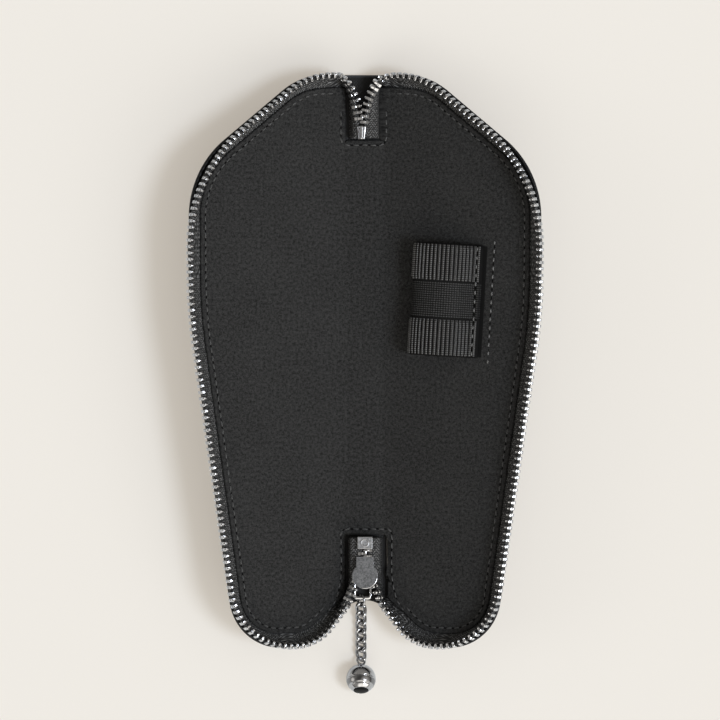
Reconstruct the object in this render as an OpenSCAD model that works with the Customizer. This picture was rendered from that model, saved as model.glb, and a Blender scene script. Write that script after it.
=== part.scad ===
// Zip-round leather case for one fountain pen, lying open on its spine.
// Row frame: +Z up, +Y towards the head end, X across. The origin is in the middle of the
// underside of the spine, where the case rests.
// Each half is drawn flat in its own frame (u away from the fold, v along the spine, w up from
// the top face of the lining) and is then tilted about its fold line.

/* [Layers] */
// Thickness of the outer leather
leather_t = 1.2; // [0.9:0.1:1.5]
// Thickness of the stiffening board, and of the zip tape that is sewn in beside it
tape_t = 0.5; // [0.4:0.05:0.6]
// Thickness of the lining
lining_t = 0.8; // [0.6:0.1:1]

/* [Spine] */
// Width of the flat spine, from fold line to fold line
spine_w = 12; // [11.5:0.5:13]
// Gap between the spine and each half along the fold
fold_gap = 0.3; // [0.2:0.05:0.5]
// Tilt of each half when the case lies open
open_tilt = 20; // [16:1:24]
// Distance of the head edge of the spine leather from the origin
spine_head = 85.4; // [84:0.2:86.4]
// Distance of the foot corners of the spine leather from the origin
spine_foot = 74.2; // [73.6:0.2:74.8]
// Height of the arch cut into the foot edge of the spine leather
foot_arch = 2.2; // [1.6:0.2:3]

/* [Outline of a half] */
// Fold line to tooth line at the widest place
half_w = 50.7; // [48:0.5:53]
// Distance of the widest place from the origin
widest_v = 14; // [8:1:20]
// Distance of the tooth line from the origin at the head lobe
head_v = 85.8; // [85:0.2:87]
// Distance of the tooth line from the origin at the foot lobe
foot_v = 85.5; // [84:0.5:87]
// Distance of the shoulder corner from the origin
shoulder_v = 55.4; // [52:0.5:58]
// Fold line to the corner of the head lobe
head_lobe_u = 12.8; // [12:0.2:14]
// Fold line to the corner of the foot lobe
foot_lobe_u = 10.6; // [10:0.2:11]
// Fold line to the outer foot corner
foot_corner_u = 35.3; // [35:0.2:37]
// Radius of the shoulder
shoulder_r = 45; // [38:1:48]
// Radius of the outer foot corner
foot_r = 19; // [17:0.5:19]
// Radius of the foot lobe beside the notch
foot_lobe_r = 15; // [12:0.5:15]
// Radius of the head lobe
head_lobe_r = 22; // [16:1:24]
// How far the leather edge stays inside the tooth line along the side
side_tuck = 0.7; // [0.4:0.1:1]
// How far the leather edge stands outside the tooth line at head and foot
end_reach = 0.4; // [0.2:0.1:0.6]
// How much the leather shoulder stands higher than the tooth line's
shoulder_lift = 1.4; // [0.8:0.2:1.8]
// Radius of the leather at the shoulder
leather_shoulder_r = 30; // [26:1:34]
// Radius of the leather at the outer foot corner
leather_foot_r = 16; // [14:0.5:17]

/* [Raised rim] */
// Height of the leather edge above the flat of the leather
rim_h = 4.6; // [4:0.1:5]
// Width of the strip along the edge that curls up
curl_w = 8; // [7:0.5:9]
// Distance from the fold over which the rim rises to its full height
rise_w = 8; // [7:0.5:9]

/* [Stitching] */
// Distance from the leather's edge to the row of stitches
stitch_in = 5.2; // [4.8:0.1:5.6]
// Distance from one stitch to the next
stitch_pitch = 2.46; // [2.2:0.02:2.8]
// Length of a stitch
stitch_l = 1.8; // [1.5:0.1:2]
// Width of a stitch
thread_d = 0.5; // [0.35:0.05:0.6]

/* [Lining windows] */
// Distance from the middle to the right edge of the head window
head_window_right = 4.4; // [4:0.1:4.6]
// Distance of the head window's edge from the origin
head_window_y = 66; // [65.6:0.2:66.2]
// Distance of the lining's foot edge from the origin
foot_window_y = 52.5; // [50:0.5:53]

/* [Zip] */
// How far the zip's head end lies left of the middle
head_shift = 1; // [0:0.1:1.2]
// How far the zip's foot end and its slider lie left of the middle
foot_shift = 0; // [-0.2:0.1:0.6]
// Distance from one tooth to the next on one tape
tooth_pitch = 1.9; // [1.85:0.05:2.1]
// Thickness of a tooth along the tape
tooth_t = 0.95; // [0.85:0.05:1]
// Thickness of the head of a tooth
head_t = 0.7; // [0.6:0.05:0.75]
// Height of a tooth across the tape
tooth_h = 2; // [1.8:0.1:2.1]
// Length of a tooth from its legs to the middle of the closed zip
tooth_leg = 2.1; // [2:0.1:2.2]
// How far a tooth reaches past the middle of the closed zip
tooth_reach = 0.6; // [0.5:0.05:0.65]
// Depth of the slot in which a tooth grips its tape
grip_depth = 1.2; // [1:0.1:1.4]
// Height of the closed zip above the table where it lies along the spine
zip_z = 6.6; // [6.4:0.1:7]
// Clearance between a tooth and the tape that it grips
tape_clear = 0.05; // [0.04:0.01:0.08]

/* [End fittings] */
// Width of the end clip at its wide end
clip_w = 3.6; // [3.2:0.1:3.8]
// Length of the end clip
clip_l = 3.9; // [3.6:0.1:4.2]
// Thickness of the end clip
clip_t = 2.8; // [2.6:0.1:3]
// Width of the retaining box
box_w = 4.5; // [4.3:0.1:4.8]
// Length of the retaining box
box_l = 3.6; // [3.2:0.1:3.8]
// Thickness of the retaining box
box_t = 3.2; // [3:0.1:3.4]
// Distance of the retaining box's inner end from the origin
box_y = 53.1; // [53:0.1:53.3]

/* [Slider] */
// Length of the slider
slider_l = 9.6; // [9.3:0.1:9.8]
// Width of the slider's rear
slider_rear_w = 5.2; // [5.1:0.1:5.5]
// Width of the slider's mouth
slider_mouth_w = 7.7; // [7.5:0.1:8]
// Thickness of each wing of the slider
wing_t = 0.9; // [0.7:0.1:1]
// Clear height between the wings
channel_h = 2.5; // [2.4:0.1:2.6]
// Distance of the slider's rear from the origin
slider_y = 59.1; // [59:0.1:59.3]
// Thickness of the guide flanges
flange_t = 0.35; // [0.3:0.05:0.4]
// Height of the guide flanges
flange_h = 0.6; // [0.5:0.05:0.65]
// Height of the crown that carries the pull
crown_h = 2; // [1.9:0.05:2.1]

/* [Pull] */
// Thickness of the bail's wire
bail_d = 1.1; // [1:0.05:1.2]
// Width of the bail between the middles of its arms
bail_w = 4.8; // [4.7:0.1:5.2]
// Length of the bail from its pivot to the middle of its crossbar
bail_l = 6.4; // [6.2:0.1:6.6]
// How far the bail has slid sideways on the slider
bail_shift = 0.7; // [0:0.1:0.7]
// How far the chain has slid sideways on the slider's pull
chain_shift = 1.2; // [0.6:0.1:1.2]
// Clearance round the bail's pivot
pivot_clear = 0.07; // [0.05:0.01:0.1]
// Thickness of the wire of the round link that takes the bail
link_d = 0.75; // [0.65:0.05:0.8]
// Width of the round link between the middles of its sides
link_w = 2.9; // [2.8:0.05:3]
// Thickness of the wire of the twisted links
curb_d = 0.9; // [0.8:0.05:0.95]
// Width of a twisted link between the middles of its sides
curb_w = 2.45; // [2.4:0.05:2.6]
// How far the sides of a twisted link rise and dip
curb_twist = 0.55; // [0.52:0.01:0.65]
// Chain length that each link makes up
link_pitch = 2.73; // [2.7:0.01:2.85]
// Play between two links
link_play = 0.08; // [0.06:0.01:0.12]

/* [Ball charm] */
// Diameter of the ball
ball_d = 8.9; // [8.4:0.1:9.2]
// Width of the band between the two grooves
band_w = 2.2; // [2:0.1:2.6]
// Width and depth of a groove
groove = 0.35; // [0.25:0.05:0.45]
// Diameter of the inset at the end of the ball
inset_d = 4.6; // [4:0.1:5]
// Thickness of the eye's wire
eye_d = 0.7; // [0.6:0.05:0.75]
// Radius of the eye to the middle of its wire
eye_r = 1.25; // [1.2:0.05:1.35]

/* [Pen loop] */
// Length of the pen loop along the pen
loop_l = 33.3; // [30:0.1:36]
// Width of the pen loop when it lies empty
loop_w = 18; // [17:0.5:19]
// Height of the pen loop when it lies empty
loop_h = 8.4; // [8:0.1:8.8]
// Thickness of the elastic
elastic_t = 1.1; // [0.9:0.05:1.2]
// Width of the tab that goes into the slit of the lining
loop_tab = 2.4; // [2:0.1:3]
// Fold line to the near side of the pen loop
loop_u = 10; // [9:0.5:12]
// Distance of the middle of the pen loop from the origin
loop_v = 18; // [14:1:22]
// Lean of the pen loop
loop_lean = 3.5; // [0:0.5:5]

/* [Hidden] */
$fn = 48;

half_spine = spine_w / 2;
stack_t = leather_t + tape_t + lining_t;
board_z = leather_t;
lining_z = leather_t + tape_t;
head_x = -head_shift;
foot_x = -foot_shift;
black = [0.05, 0.05, 0.055];
lining_black = [0.09, 0.09, 0.09];
tape_black = [0.11, 0.11, 0.115];
steel = [0.72, 0.72, 0.73];

// ---- plane geometry ----
function unit(a) = a / norm(a);
function mix(a, b, f) = a + (b - a) * f;
function left_of(d) = [-d[1], d[0]];
function turned(a, t) = [a[0] * cos(t) - a[1] * sin(t), a[0] * sin(t) + a[1] * cos(t)];
function smooth(x) = let (c = min(max(x, 0), 1)) c * c * (3 - 2 * c);

// A round corner of radius r at q, between p and s: entry, exit, centre, first normal, angle, r.
function corner(p, q, s, r) =
    let (
        a = unit(q - p),
        b = unit(s - q),
        angle = atan2(cross(a, b), a * b),
        reach = r * tan(angle / 2)
    )
    [q - a * reach, q + b * reach, q - a * reach + left_of(a) * r, left_of(a), angle, r];

// Points with their inward normals along a line of straight runs and round corners.
function outline(points, radii, runs, arcs) =
    let (
        last = len(points) - 1,
        corners = [for (j = [1:last - 1]) corner(points[j - 1], points[j], points[j + 1], radii[j - 1])]
    )
    [
        for (j = [0:last - 1])
            let (
                from = j == 0 ? points[0] : corners[j - 1][1],
                to = j == last - 1 ? points[last] : corners[j][0],
                normal = left_of(unit(to - from))
            )
            each [
                for (k = [0:runs[j]]) [mix(from, to, k / runs[j]), normal],
                if (j < last - 1)
                    for (k = [1:arcs[j] - 1])
                        let (n = turned(corners[j][3], corners[j][4] * k / arcs[j]))
                        [corners[j][2] - n * corners[j][5], n]
            ]
    ];

run_steps = [2, 1, 8, 2, 4, 1];
arc_steps = [6, 9, 2, 10, 6];
side_r = 150;
notch_u = 3;
notch_lift = 9.5;
head_notch_u = 3.4;
head_drop = 0.5;
lobe_shift = 1.2;

tooth_line = outline(
    [
        [notch_u, notch_lift - foot_v],
        [foot_lobe_u, -foot_v],
        [foot_corner_u, -foot_v - 0.7],
        [half_w, widest_v],
        [half_w + 0.4, shoulder_v],
        [head_lobe_u, head_v],
        [head_notch_u, head_v - head_drop]
    ],
    [foot_lobe_r, foot_r, side_r, shoulder_r, head_lobe_r],
    run_steps, arc_steps
);

leather_line = outline(
    [
        [0, -spine_foot],
        [foot_lobe_u - side_tuck, -foot_v - end_reach],
        [foot_corner_u, -foot_v - 0.7 - end_reach],
        [half_w - side_tuck, widest_v],
        [half_w + 0.4 - side_tuck, shoulder_v + shoulder_lift],
        [head_lobe_u + lobe_shift, head_v + end_reach],
        [0, spine_head]
    ],
    [foot_lobe_r, leather_foot_r, side_r, leather_shoulder_r, head_lobe_r],
    run_steps, arc_steps
);
last_sample = len(leather_line) - 1;

// ---- the curled surface of a half ----
curl_angles = [90, 72, 52, 32, 14, 0];
// The lining starts at this one of the angles, and shows a strip of zip tape outside it.
lining_first = 3;
function along(line, i) = i == 0 ? 0 : along(line, i - 1) + norm(line[i][0] - line[i - 1][0]);
outline_length = along(leather_line, last_sample);
function rise(i) = smooth(leather_line[i][0][0] / rise_w);
function inward(i) =
    let (up = i < last_sample / 2 ? [0, 1] : [0, -1])
    unit(mix(up, leather_line[i][1], rise(i)));
// Point at station angle a of sample i, lifted h along the surface's own normal.
function curl_point(i, a, h) =
    let (
        f = rise(i),
        d = curl_w * (1 - sin(a)),
        w = rim_h * (1 - cos(a)) * f,
        n = unit(mix([0, 1], unit([rim_h * sin(a), curl_w * cos(a)]), f)),
        p = leather_line[i][0] + inward(i) * (d + h * n[0])
    )
    [max(p[0], fold_gap), p[1], w + h * n[1] - stack_t];
function fold_point(i, h) =
    let (
        low = -spine_foot + curl_w + 2,
        high = spine_head - curl_w - 2,
        f = along(leather_line, i) / outline_length
    )
    [fold_gap, mix(low, high, f), h - stack_t];
// Rows of points, one for each sample of the outline, from the station first to the fold.
function sheet_rows(h, first) = [
    for (i = [0:last_sample]) [
        for (k = [first:len(curl_angles) - 1]) curl_point(i, curl_angles[k], h),
        fold_point(i, h)
    ]
];

// A solid between two grids of points. Both run along the outline, and inwards in each row.
module slab(low, high) {
    n = len(low);
    m = len(low[0]);
    top = n * m;
    function at(i, k) = i * m + k;
    // two triangles over a square of the grid, split so that neither end leaves a flat one
    function pair(i, k, g) = i < n / 2
        ? [[g + at(i, k), g + at(i + 1, k), g + at(i, k + 1)],
            [g + at(i + 1, k), g + at(i + 1, k + 1), g + at(i, k + 1)]]
        : [[g + at(i, k), g + at(i + 1, k), g + at(i + 1, k + 1)],
            [g + at(i, k), g + at(i + 1, k + 1), g + at(i, k + 1)]];
    points = [each [for (row = low) each row], each [for (row = high) each row]];
    faces = [
        for (i = [0:n - 2]) for (k = [0:m - 2]) each [
            each pair(i, k, 0),
            for (f = pair(i, k, top)) [f[0], f[2], f[1]]
        ],
        for (i = [0:n - 2]) each [
            [at(i, 0), top + at(i, 0), top + at(i + 1, 0)],
            [at(i, 0), top + at(i + 1, 0), at(i + 1, 0)],
            [at(i + 1, m - 1), top + at(i + 1, m - 1), top + at(i, m - 1)],
            [at(i + 1, m - 1), top + at(i, m - 1), at(i, m - 1)]
        ],
        for (k = [0:m - 2]) each [
            [at(0, k + 1), top + at(0, k + 1), top + at(0, k)],
            [at(0, k + 1), top + at(0, k), at(0, k)],
            [at(n - 1, k), top + at(n - 1, k), top + at(n - 1, k + 1)],
            [at(n - 1, k), top + at(n - 1, k + 1), at(n - 1, k + 1)]
        ]
    ];
    polyhedron(points, faces, convexity = 4);
}

// Puts what is drawn in a half's own frame onto the right half, or the left for side = -1.
module on_half(side) {
    mirror([side < 0 ? 1 : 0, 0, 0])
        translate([half_spine, 0, stack_t])
            rotate([0, -open_tilt, 0])
                children();
}

module outer_half(side) {
    color(black) on_half(side) slab(sheet_rows(0, 0), sheet_rows(leather_t, 0));
}

module board_half(side) {
    edge = [for (i = [0:last_sample]) let (p = curl_point(i, 0, leather_t)) [p[0], p[1]]];
    inset = 0.4;
    color("dimgray") on_half(side)
        translate([0, 0, leather_t - stack_t])
            linear_extrude(tape_t)
                polygon([
                    for (i = [0:last_sample]) edge[i] + inward(i) * inset,
                    [fold_gap, edge[last_sample][1] - inset],
                    [fold_gap, edge[0][1] + inset]
                ]);
}

module lining_half(side) {
    color(lining_black) on_half(side)
        slab(sheet_rows(lining_z, lining_first), sheet_rows(stack_t, lining_first));
}

// ---- zip tape and teeth of a half ----
zip_w = half_spine;
grip_top = -tooth_leg + grip_depth;
tape_top = grip_top - tape_clear;
tape_below_teeth = tooth_leg + 0.3;

function tape_rail(i, side) =
    let (
        p = tooth_line[i][0],
        n = tooth_line[i][1],
        q = p + n * side * tape_t / 2,
        h = side < 0 ? leather_t : lining_z
    )
    [
        [q[0], q[1], zip_w + tape_top],
        [q[0], q[1], zip_w - tape_below_teeth],
        for (k = [0:len(curl_angles) - 2]) curl_point(i, curl_angles[k], h)
    ];

module tape_half(side) {
    color(tape_black) on_half(side)
        slab([for (i = [0:last_sample]) tape_rail(i, -1)], [for (i = [0:last_sample]) tape_rail(i, 1)]);
}

// One tooth: thickness along x, height across the tape along y, head towards +z.
module tooth() {
    half_h = tooth_h / 2;
    slot = tape_t / 2 + tape_clear;
    neck_z = -tooth_reach + 0.15;
    rotate([90, 0, 90]) {
        translate([0, 0, -tooth_t / 2])
            linear_extrude(tooth_t)
                polygon([
                    [-half_h, -tooth_leg], [-slot, -tooth_leg], [-slot, grip_top], [slot, grip_top],
                    [slot, -tooth_leg], [half_h, -tooth_leg], [half_h, neck_z], [-half_h, neck_z]
                ]);
        translate([0, 0, -head_t / 2])
            linear_extrude(head_t)
                polygon([
                    [-half_h, neck_z], [half_h, neck_z], [half_h, 0],
                    [half_h * 0.6, tooth_reach], [-half_h * 0.6, tooth_reach], [-half_h, 0]
                ]);
    }
}

// The point and direction at the distance s along a line of points.
function walk(line, s, i = 0) =
    let (step = norm(line[i + 1] - line[i]))
    s <= step || i == len(line) - 2
        ? [mix(line[i], line[i + 1], s / step), unit(line[i + 1] - line[i])]
        : walk(line, s - step, i + 1);
function line_length(line) = along([for (p = line) [p]], len(line) - 1);

tooth_points = [for (s = tooth_line) s[0]];
tooth_path_length = line_length(tooth_points);
end_room = 0.6;
teeth_per_half = floor((tooth_path_length - 2 * end_room - tooth_pitch) / tooth_pitch);

module teeth_half(side) {
    offset_along = end_room + (side < 0 ? 0 : tooth_pitch / 2);
    color(steel) on_half(side)
        for (k = [0:teeth_per_half]) {
            spot = walk(tooth_points, offset_along + k * tooth_pitch);
            translate([spot[0][0], spot[0][1], zip_w])
                rotate([0, 0, atan2(spot[1][1], spot[1][0])])
                    tooth();
        }
}

// ---- stitches ----
// One stitch, along x on a surface at z = 0.
module stitch(length, t) {
    translate([0, t / 2, 0])
        rotate([90, 0, 0])
            linear_extrude(t)
                polygon([
                    [-length / 2, 0], [length / 2, 0],
                    [length / 2 - t * 0.6, t * 0.6], [t * 0.6 - length / 2, t * 0.6]
                ]);
}

module edge_stitches(side) {
    angle = asin(1 - stitch_in / curl_w);
    seat = 0.04;
    path = [for (i = [2:last_sample - 1]) curl_point(i, angle, stack_t + seat)];
    count = floor(line_length(path) / stitch_pitch) - 1;
    start = (line_length(path) - count * stitch_pitch) / 2;
    slope = atan(rim_h / curl_w * tan(angle));
    color(black) on_half(side)
        for (k = [0:count]) {
            spot = walk(path, start + k * stitch_pitch);
            translate(spot[0])
                rotate([0, 0, atan2(spot[1][1], spot[1][0])])
                    rotate([-slope, 0, 0])
                        stitch(stitch_l, thread_d);
        }
}

// ---- spine ----
module spine_leather_outline() {
    // the arch is a circle through both foot corners and the crown of the arch
    chord = half_spine - fold_gap;
    arch_r = (chord * chord + foot_arch * foot_arch) / (2 * foot_arch);
    difference() {
        translate([-chord, -spine_foot])
            square([2 * chord, spine_foot + spine_head]);
        translate([0, foot_arch - spine_foot - arch_r])
            circle(arch_r);
    }
}

module outer_spine() {
    color(black) linear_extrude(leather_t) spine_leather_outline();
}

module board_spine() {
    length = head_window_y + foot_window_y;
    side_gap = 1;
    color("dimgray")
        translate([fold_gap - half_spine + side_gap / 2, -foot_window_y, board_z])
            cube([spine_w - 2 * fold_gap - side_gap, length, tape_t]);
}

module lining_spine() {
    chord = half_spine - fold_gap;
    tongue = 4.4;
    color(lining_black) translate([0, 0, lining_z]) linear_extrude(lining_t)
        polygon([
            [-chord, -foot_window_y], [chord, -foot_window_y], [chord, spine_head - tongue],
            [head_window_right, spine_head - tongue], [head_window_right, head_window_y],
            [-chord, head_window_y]
        ]);
}

// ---- free ends of the zip, between the fittings and the lobes ----
head_clip_y = head_window_y + 0.4;
head_start = head_clip_y + clip_l * 1.36;
head_end = head_v - head_drop;
// Each line gives half the opening between the two rows as a share of half the spine, the place
// between the clip and the lobe, and the height as a share of the closed zip's.
head_shape = [
    [0.083, 0.265, 0.88], [0.25, 0.529, 0.955], [0.517, 0.772, 1.09], [0.783, 0.919, 1.24]
];
head_v_line = [
    [0, head_clip_y + clip_l * 0.1, zip_z * 0.85], [0, head_start, zip_z * 0.85],
    for (p = head_shape) [p[0] * half_spine, mix(head_start, head_end, p[1]), zip_z * p[2]]
];
// The same for the foot, with the place as a share of the slider's length.
foot_shape = [
    [0, 0.1, 1], [0, 0.27, 1], [0.058, 0.458, 1], [0.167, 0.625, 1], [0.417, 0.948, 1],
    [0.65, 1.292, 1.09], [0.883, 1.563, 1.21]
];
foot_v_line = [
    [0, -box_y - box_l * 0.1, zip_z],
    for (p = foot_shape) [p[0] * half_spine, -slider_y - p[1] * slider_l, zip_z * p[2]]
];
function tilted(u, v, w) = [
    half_spine + u * cos(open_tilt) - w * sin(open_tilt), v,
    stack_t + u * sin(open_tilt) + w * cos(open_tilt)
];
// Distance from the middle at which the free tapes reach the spine leather.
head_knee = head_window_right - 0.35;
head_bend = head_knee - 0.55;
foot_knee = slider_mouth_w / 2 + abs(foot_shift) + 0.45;
foot_bend = foot_knee + 0.1;
function end_x(line_end) = line_end == 0 ? foot_x : head_x;
// Break between the free end of a tape and the tape of the half, across the fold.
tape_break = 0.55;
// Smooth curve through the points: four steps to each span.
span_steps = 4;
function spline_point(p, i, t) =
    let (
        a = p[max(i - 1, 0)], b = p[i], c = p[i + 1], d = p[min(i + 2, len(p) - 1)]
    )
    0.5 * (2 * b + (c - a) * t + (2 * a - 5 * b + 4 * c - d) * t * t + (3 * b - a - 3 * c + d) * t * t * t);
function spline(p) = [
    for (i = [0:len(p) - 2]) for (k = [0:span_steps - 1]) spline_point(p, i, k / span_steps),
    p[len(p) - 1]
];
function free_row(v_line, side, line_end) =
    let (
        t = tooth_line[line_end == 0 ? 0 : last_sample][0],
        at_lobe = tilted(t[0], t[1], zip_w),
        lobe = [side * at_lobe[0], at_lobe[1], at_lobe[2]],
        v_points = [for (p = v_line) [end_x(line_end) + side * p[0], p[1], p[2]]]
    )
    spline([each v_points, lobe + unit(v_points[len(v_points) - 1] - lobe) * tape_break]);
// Direction in which the teeth's heads point: level beside the fittings, and turned to the
// half's own direction at the lobe.
function head_dir(side, f) =
    let (a = mix(90, open_tilt, f)) [-side * sin(a), 0, cos(a)];
function turned_share(row, p, side) =
    let (from = half_spine * 0.28)
    smooth((side * (p[0] - row[0][0]) - from) / (side * (row[len(row) - 1][0] - row[0][0]) - from));

// A frame at a point of a row: x along the row, z towards the heads.
module at_frame(p, dir, head) {
    x = unit(dir);
    z = unit(head - x * (head * x));
    y = cross(z, x);
    multmatrix([
        [x[0], y[0], z[0], p[0]], [x[1], y[1], z[1], p[1]], [x[2], y[2], z[2], p[2]], [0, 0, 0, 1]
    ])
        children();
}

module free_teeth(v_line, side, line_end, first) {
    row = free_row(v_line, side, line_end);
    length = line_length(row);
    start = first + (side < 0 ? 0 : tooth_pitch / 2);
    margin = side < 0 ? tooth_pitch / 2 : 0.65;
    count = floor((length - start - margin) / tooth_pitch);
    color(steel)
        for (k = [0:count]) {
            s = start + k * tooth_pitch;
            spot = walk(row, s);
            at_frame(spot[0], spot[1], head_dir(side, turned_share(row, spot[0], side)))
                tooth();
        }
}

module free_tape(v_line, side, line_end, bend_x, knee_x) {
    row = free_row(v_line, side, line_end);
    n = len(row);
    seat_x = half_spine - 0.45;
    lift = tape_t / 2;
    seat_z = leather_t + lift;
    rails = [
        for (i = [0:n - 1])
            let (
                p = row[i],
                a = head_dir(side, turned_share(row, p, side)),
                out = max(tape_below_teeth, bend_x - side * p[0]),
                edge = p + a * tape_top,
                bend = p - a * out,
                back = (line_end == 0 ? 1 : -1) * 1.6 * i / (n - 1)
            )
            [edge, bend, [side * knee_x, p[1] + back, seat_z], [side * seat_x, p[1] + back, seat_z]]
    ];
    function across(i, k) =
        let (
            d = rails[i][min(k + 1, 3)] - rails[i][max(k - 1, 0)],
            along_row = rails[min(i + 1, n - 1)][k] - rails[max(i - 1, 0)][k]
        )
        unit(cross(along_row, d));
    // the seat lies flat, so its thickness is upright
    function lifted(i, k, s) = rails[i][k] + (k == 3 ? [0, 0, s * lift * flip] : across(i, k) * s * lift);
    flip = across(1, 3)[2] < 0 ? -1 : 1;
    low = [for (i = [0:n - 1]) [for (k = [0:3]) lifted(i, k, -1)]];
    high = [for (i = [0:n - 1]) [for (k = [0:3]) lifted(i, k, 1)]];
    color(tape_black) slab(low, high);
}

// ---- end fittings ----
module zip_end_clip() {
    taper = 0.8;
    flutes = 4;
    color(steel) translate([head_x, head_clip_y, zip_z * 0.85])
        difference() {
            translate([0, 0, -clip_t / 2])
                linear_extrude(clip_t)
                    polygon([
                        [-clip_w / 2 + taper / 2, 0], [clip_w / 2 - taper / 2, 0],
                        [clip_w / 2, clip_l], [-clip_w / 2, clip_l]
                    ]);
            for (k = [0:flutes - 1])
                translate([(k - (flutes - 1) / 2) * clip_w / (flutes + 0.6), -1, clip_t / 2 + 0.05])
                    rotate([-90, 0, 0])
                        cylinder(d = 0.4, h = clip_l + 2, $fn = 16);
            translate([-clip_w, -1, -tape_t / 2 - tape_clear])
                cube([2 * clip_w, clip_l + 2, tape_t + 2 * tape_clear]);
        }
}

module zip_retaining_box() {
    chamfer = 0.3;
    ring_d = 2.4;
    color(steel) translate([foot_x, -box_y, zip_z])
        difference() {
            union() {
                translate([-box_w / 2, -box_l, -box_t / 2])
                    cube([box_w, box_l, box_t - chamfer]);
                translate([-box_w / 2 + chamfer, -box_l + chamfer, box_t / 2 - chamfer])
                    cube([box_w - 2 * chamfer, box_l - 2 * chamfer, chamfer]);
            }
            translate([0, -box_l / 2, box_t / 2 - 0.2])
                difference() {
                    cylinder(d = ring_d, h = 1);
                    translate([0, 0, -1])
                        cylinder(d = ring_d - 0.7, h = 3);
                }
            translate([-box_w, -box_l - 1, -tape_t / 2 - tape_clear])
                cube([2 * box_w, box_l + 2, tape_t + 2 * tape_clear]);
        }
}

// ---- slider ----
mouth_y = slider_l - slider_mouth_w / 2;
module wing_outline() {
    waist = 0.55;
    difference() {
        union() {
            translate([-slider_rear_w / 2, -mouth_y])
                square([slider_rear_w, mouth_y]);
            translate([0, -mouth_y])
                circle(d = slider_mouth_w);
            polygon([
                [-slider_rear_w / 2, -mouth_y * 0.4], [slider_rear_w / 2, -mouth_y * 0.4],
                [slider_mouth_w / 2 - 0.05, -mouth_y], [-slider_mouth_w / 2 + 0.05, -mouth_y]
            ]);
        }
        for (s = [-1, 1])
            translate([s * (slider_rear_w / 2 + waist * 2), -mouth_y * 0.4])
                circle(waist * 2);
    }
}

module slider_body() {
    wedge_w = 1.5;
    crown_w = 2;
    crown_l = 4.4;
    color([0.62, 0.62, 0.63]) translate([foot_x, -slider_y, zip_z])
        difference() {
            union() {
                for (s = [0, 1])
                    translate([0, 0, s == 0 ? channel_h / 2 : -channel_h / 2 - wing_t])
                        linear_extrude(wing_t)
                            wing_outline();
                // guide flanges on both wings, from the rear to the widest place
                for (s = [0, 1])
                    translate([0, 0, s == 0 ? channel_h / 2 - flange_h : -channel_h / 2])
                        linear_extrude(flange_h)
                            intersection() {
                                difference() {
                                    wing_outline();
                                    translate([-slider_rear_w / 2 + flange_t, -mouth_y * 0.62])
                                        square([slider_rear_w - 2 * flange_t, mouth_y]);
                                    translate([0, -mouth_y])
                                        circle(d = slider_mouth_w - 2 * flange_t);
                                }
                                translate([-slider_mouth_w, -mouth_y - 0.3])
                                    square([2 * slider_mouth_w, mouth_y + 1]);
                            }
                // the wedge that parts the rows of teeth
                translate([0, -slider_l, -channel_h / 2])
                    linear_extrude(channel_h)
                        polygon([
                            [-wedge_w / 3, 0.7], [wedge_w / 3, 0.7], [wedge_w / 2, 1.6], [0, 4], [-wedge_w / 2, 1.6]
                        ]);
                translate([-crown_w / 2, -mouth_y - crown_l / 2 + 0.3, -channel_h / 2 - wing_t - crown_h])
                    cube([crown_w, crown_l, crown_h]);
            }
            translate([-crown_w, pivot_y + slider_y, pivot_z - zip_z])
                rotate([0, 90, 0])
                    cylinder(d = bail_d + 2 * pivot_clear, h = 2 * crown_w);
        }
}

// ---- pull: bail, chain and ball ----
pivot_y = -slider_y - mouth_y - 0.3;
pivot_z = zip_z - channel_h / 2 - wing_t - crown_h / 2;

module rod(p, q, d) {
    x = unit(q - p);
    helper = abs(x[2]) < 0.9 ? [0, 0, 1] : [1, 0, 0];
    at_frame(p, x, helper)
        rotate([0, 90, 0])
            cylinder(d = d, h = norm(q - p), $fn = 32);
}

module pull_bail() {
    near = [pivot_y, pivot_z];
    far = [pivot_y - bail_l, pivot_z];
    x = foot_x - bail_shift;
    corners = [
        [x - bail_w / 2, near[0], near[1]], [x + bail_w / 2, near[0], near[1]],
        [x + bail_w / 2, far[0], far[1]], [x - bail_w / 2, far[0], far[1]]
    ];
    color(steel) {
        for (k = [0:3]) {
            rod(corners[k], corners[(k + 1) % 4], bail_d);
            translate(corners[k]) sphere(d = bail_d, $fn = 32);
        }
    }
}

// Slope of each link, from the bail to the ball: down over the leather's edge, then flat on the
// table.
link_slopes = [-12, -20, -18, -2, 0, 0, 0];
// Roll of the round link about the line of the chain, as it takes the bail's bar.
first_roll = 50;
chain_x = foot_x - chain_shift;
function link_dir(k) = [0, -cos(link_slopes[k]), sin(link_slopes[k])];
function bearing(k) =
    k == 0 ? [chain_x, pivot_y - bail_l, pivot_z] - link_dir(0) * bail_d / 2
    : bearing(k - 1) + link_pitch * link_dir(k - 1);

// A link seen flat: two half rings joined by two straight sides, the long way along x.
module flat_link(length, width, d) {
    bow = width / 2;
    straight = length - width;
    for (s = [-1, 1]) {
        translate([s * straight / 2, 0, 0])
            rotate([0, 0, s > 0 ? -90 : 90])
                rotate_extrude(angle = 180, $fn = 40)
                    translate([bow, 0])
                        circle(d = d, $fn = 20);
        translate([-straight / 2, s * bow, 0])
            rotate([0, 90, 0])
                cylinder(d = d, h = straight, $fn = 20);
    }
}

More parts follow.
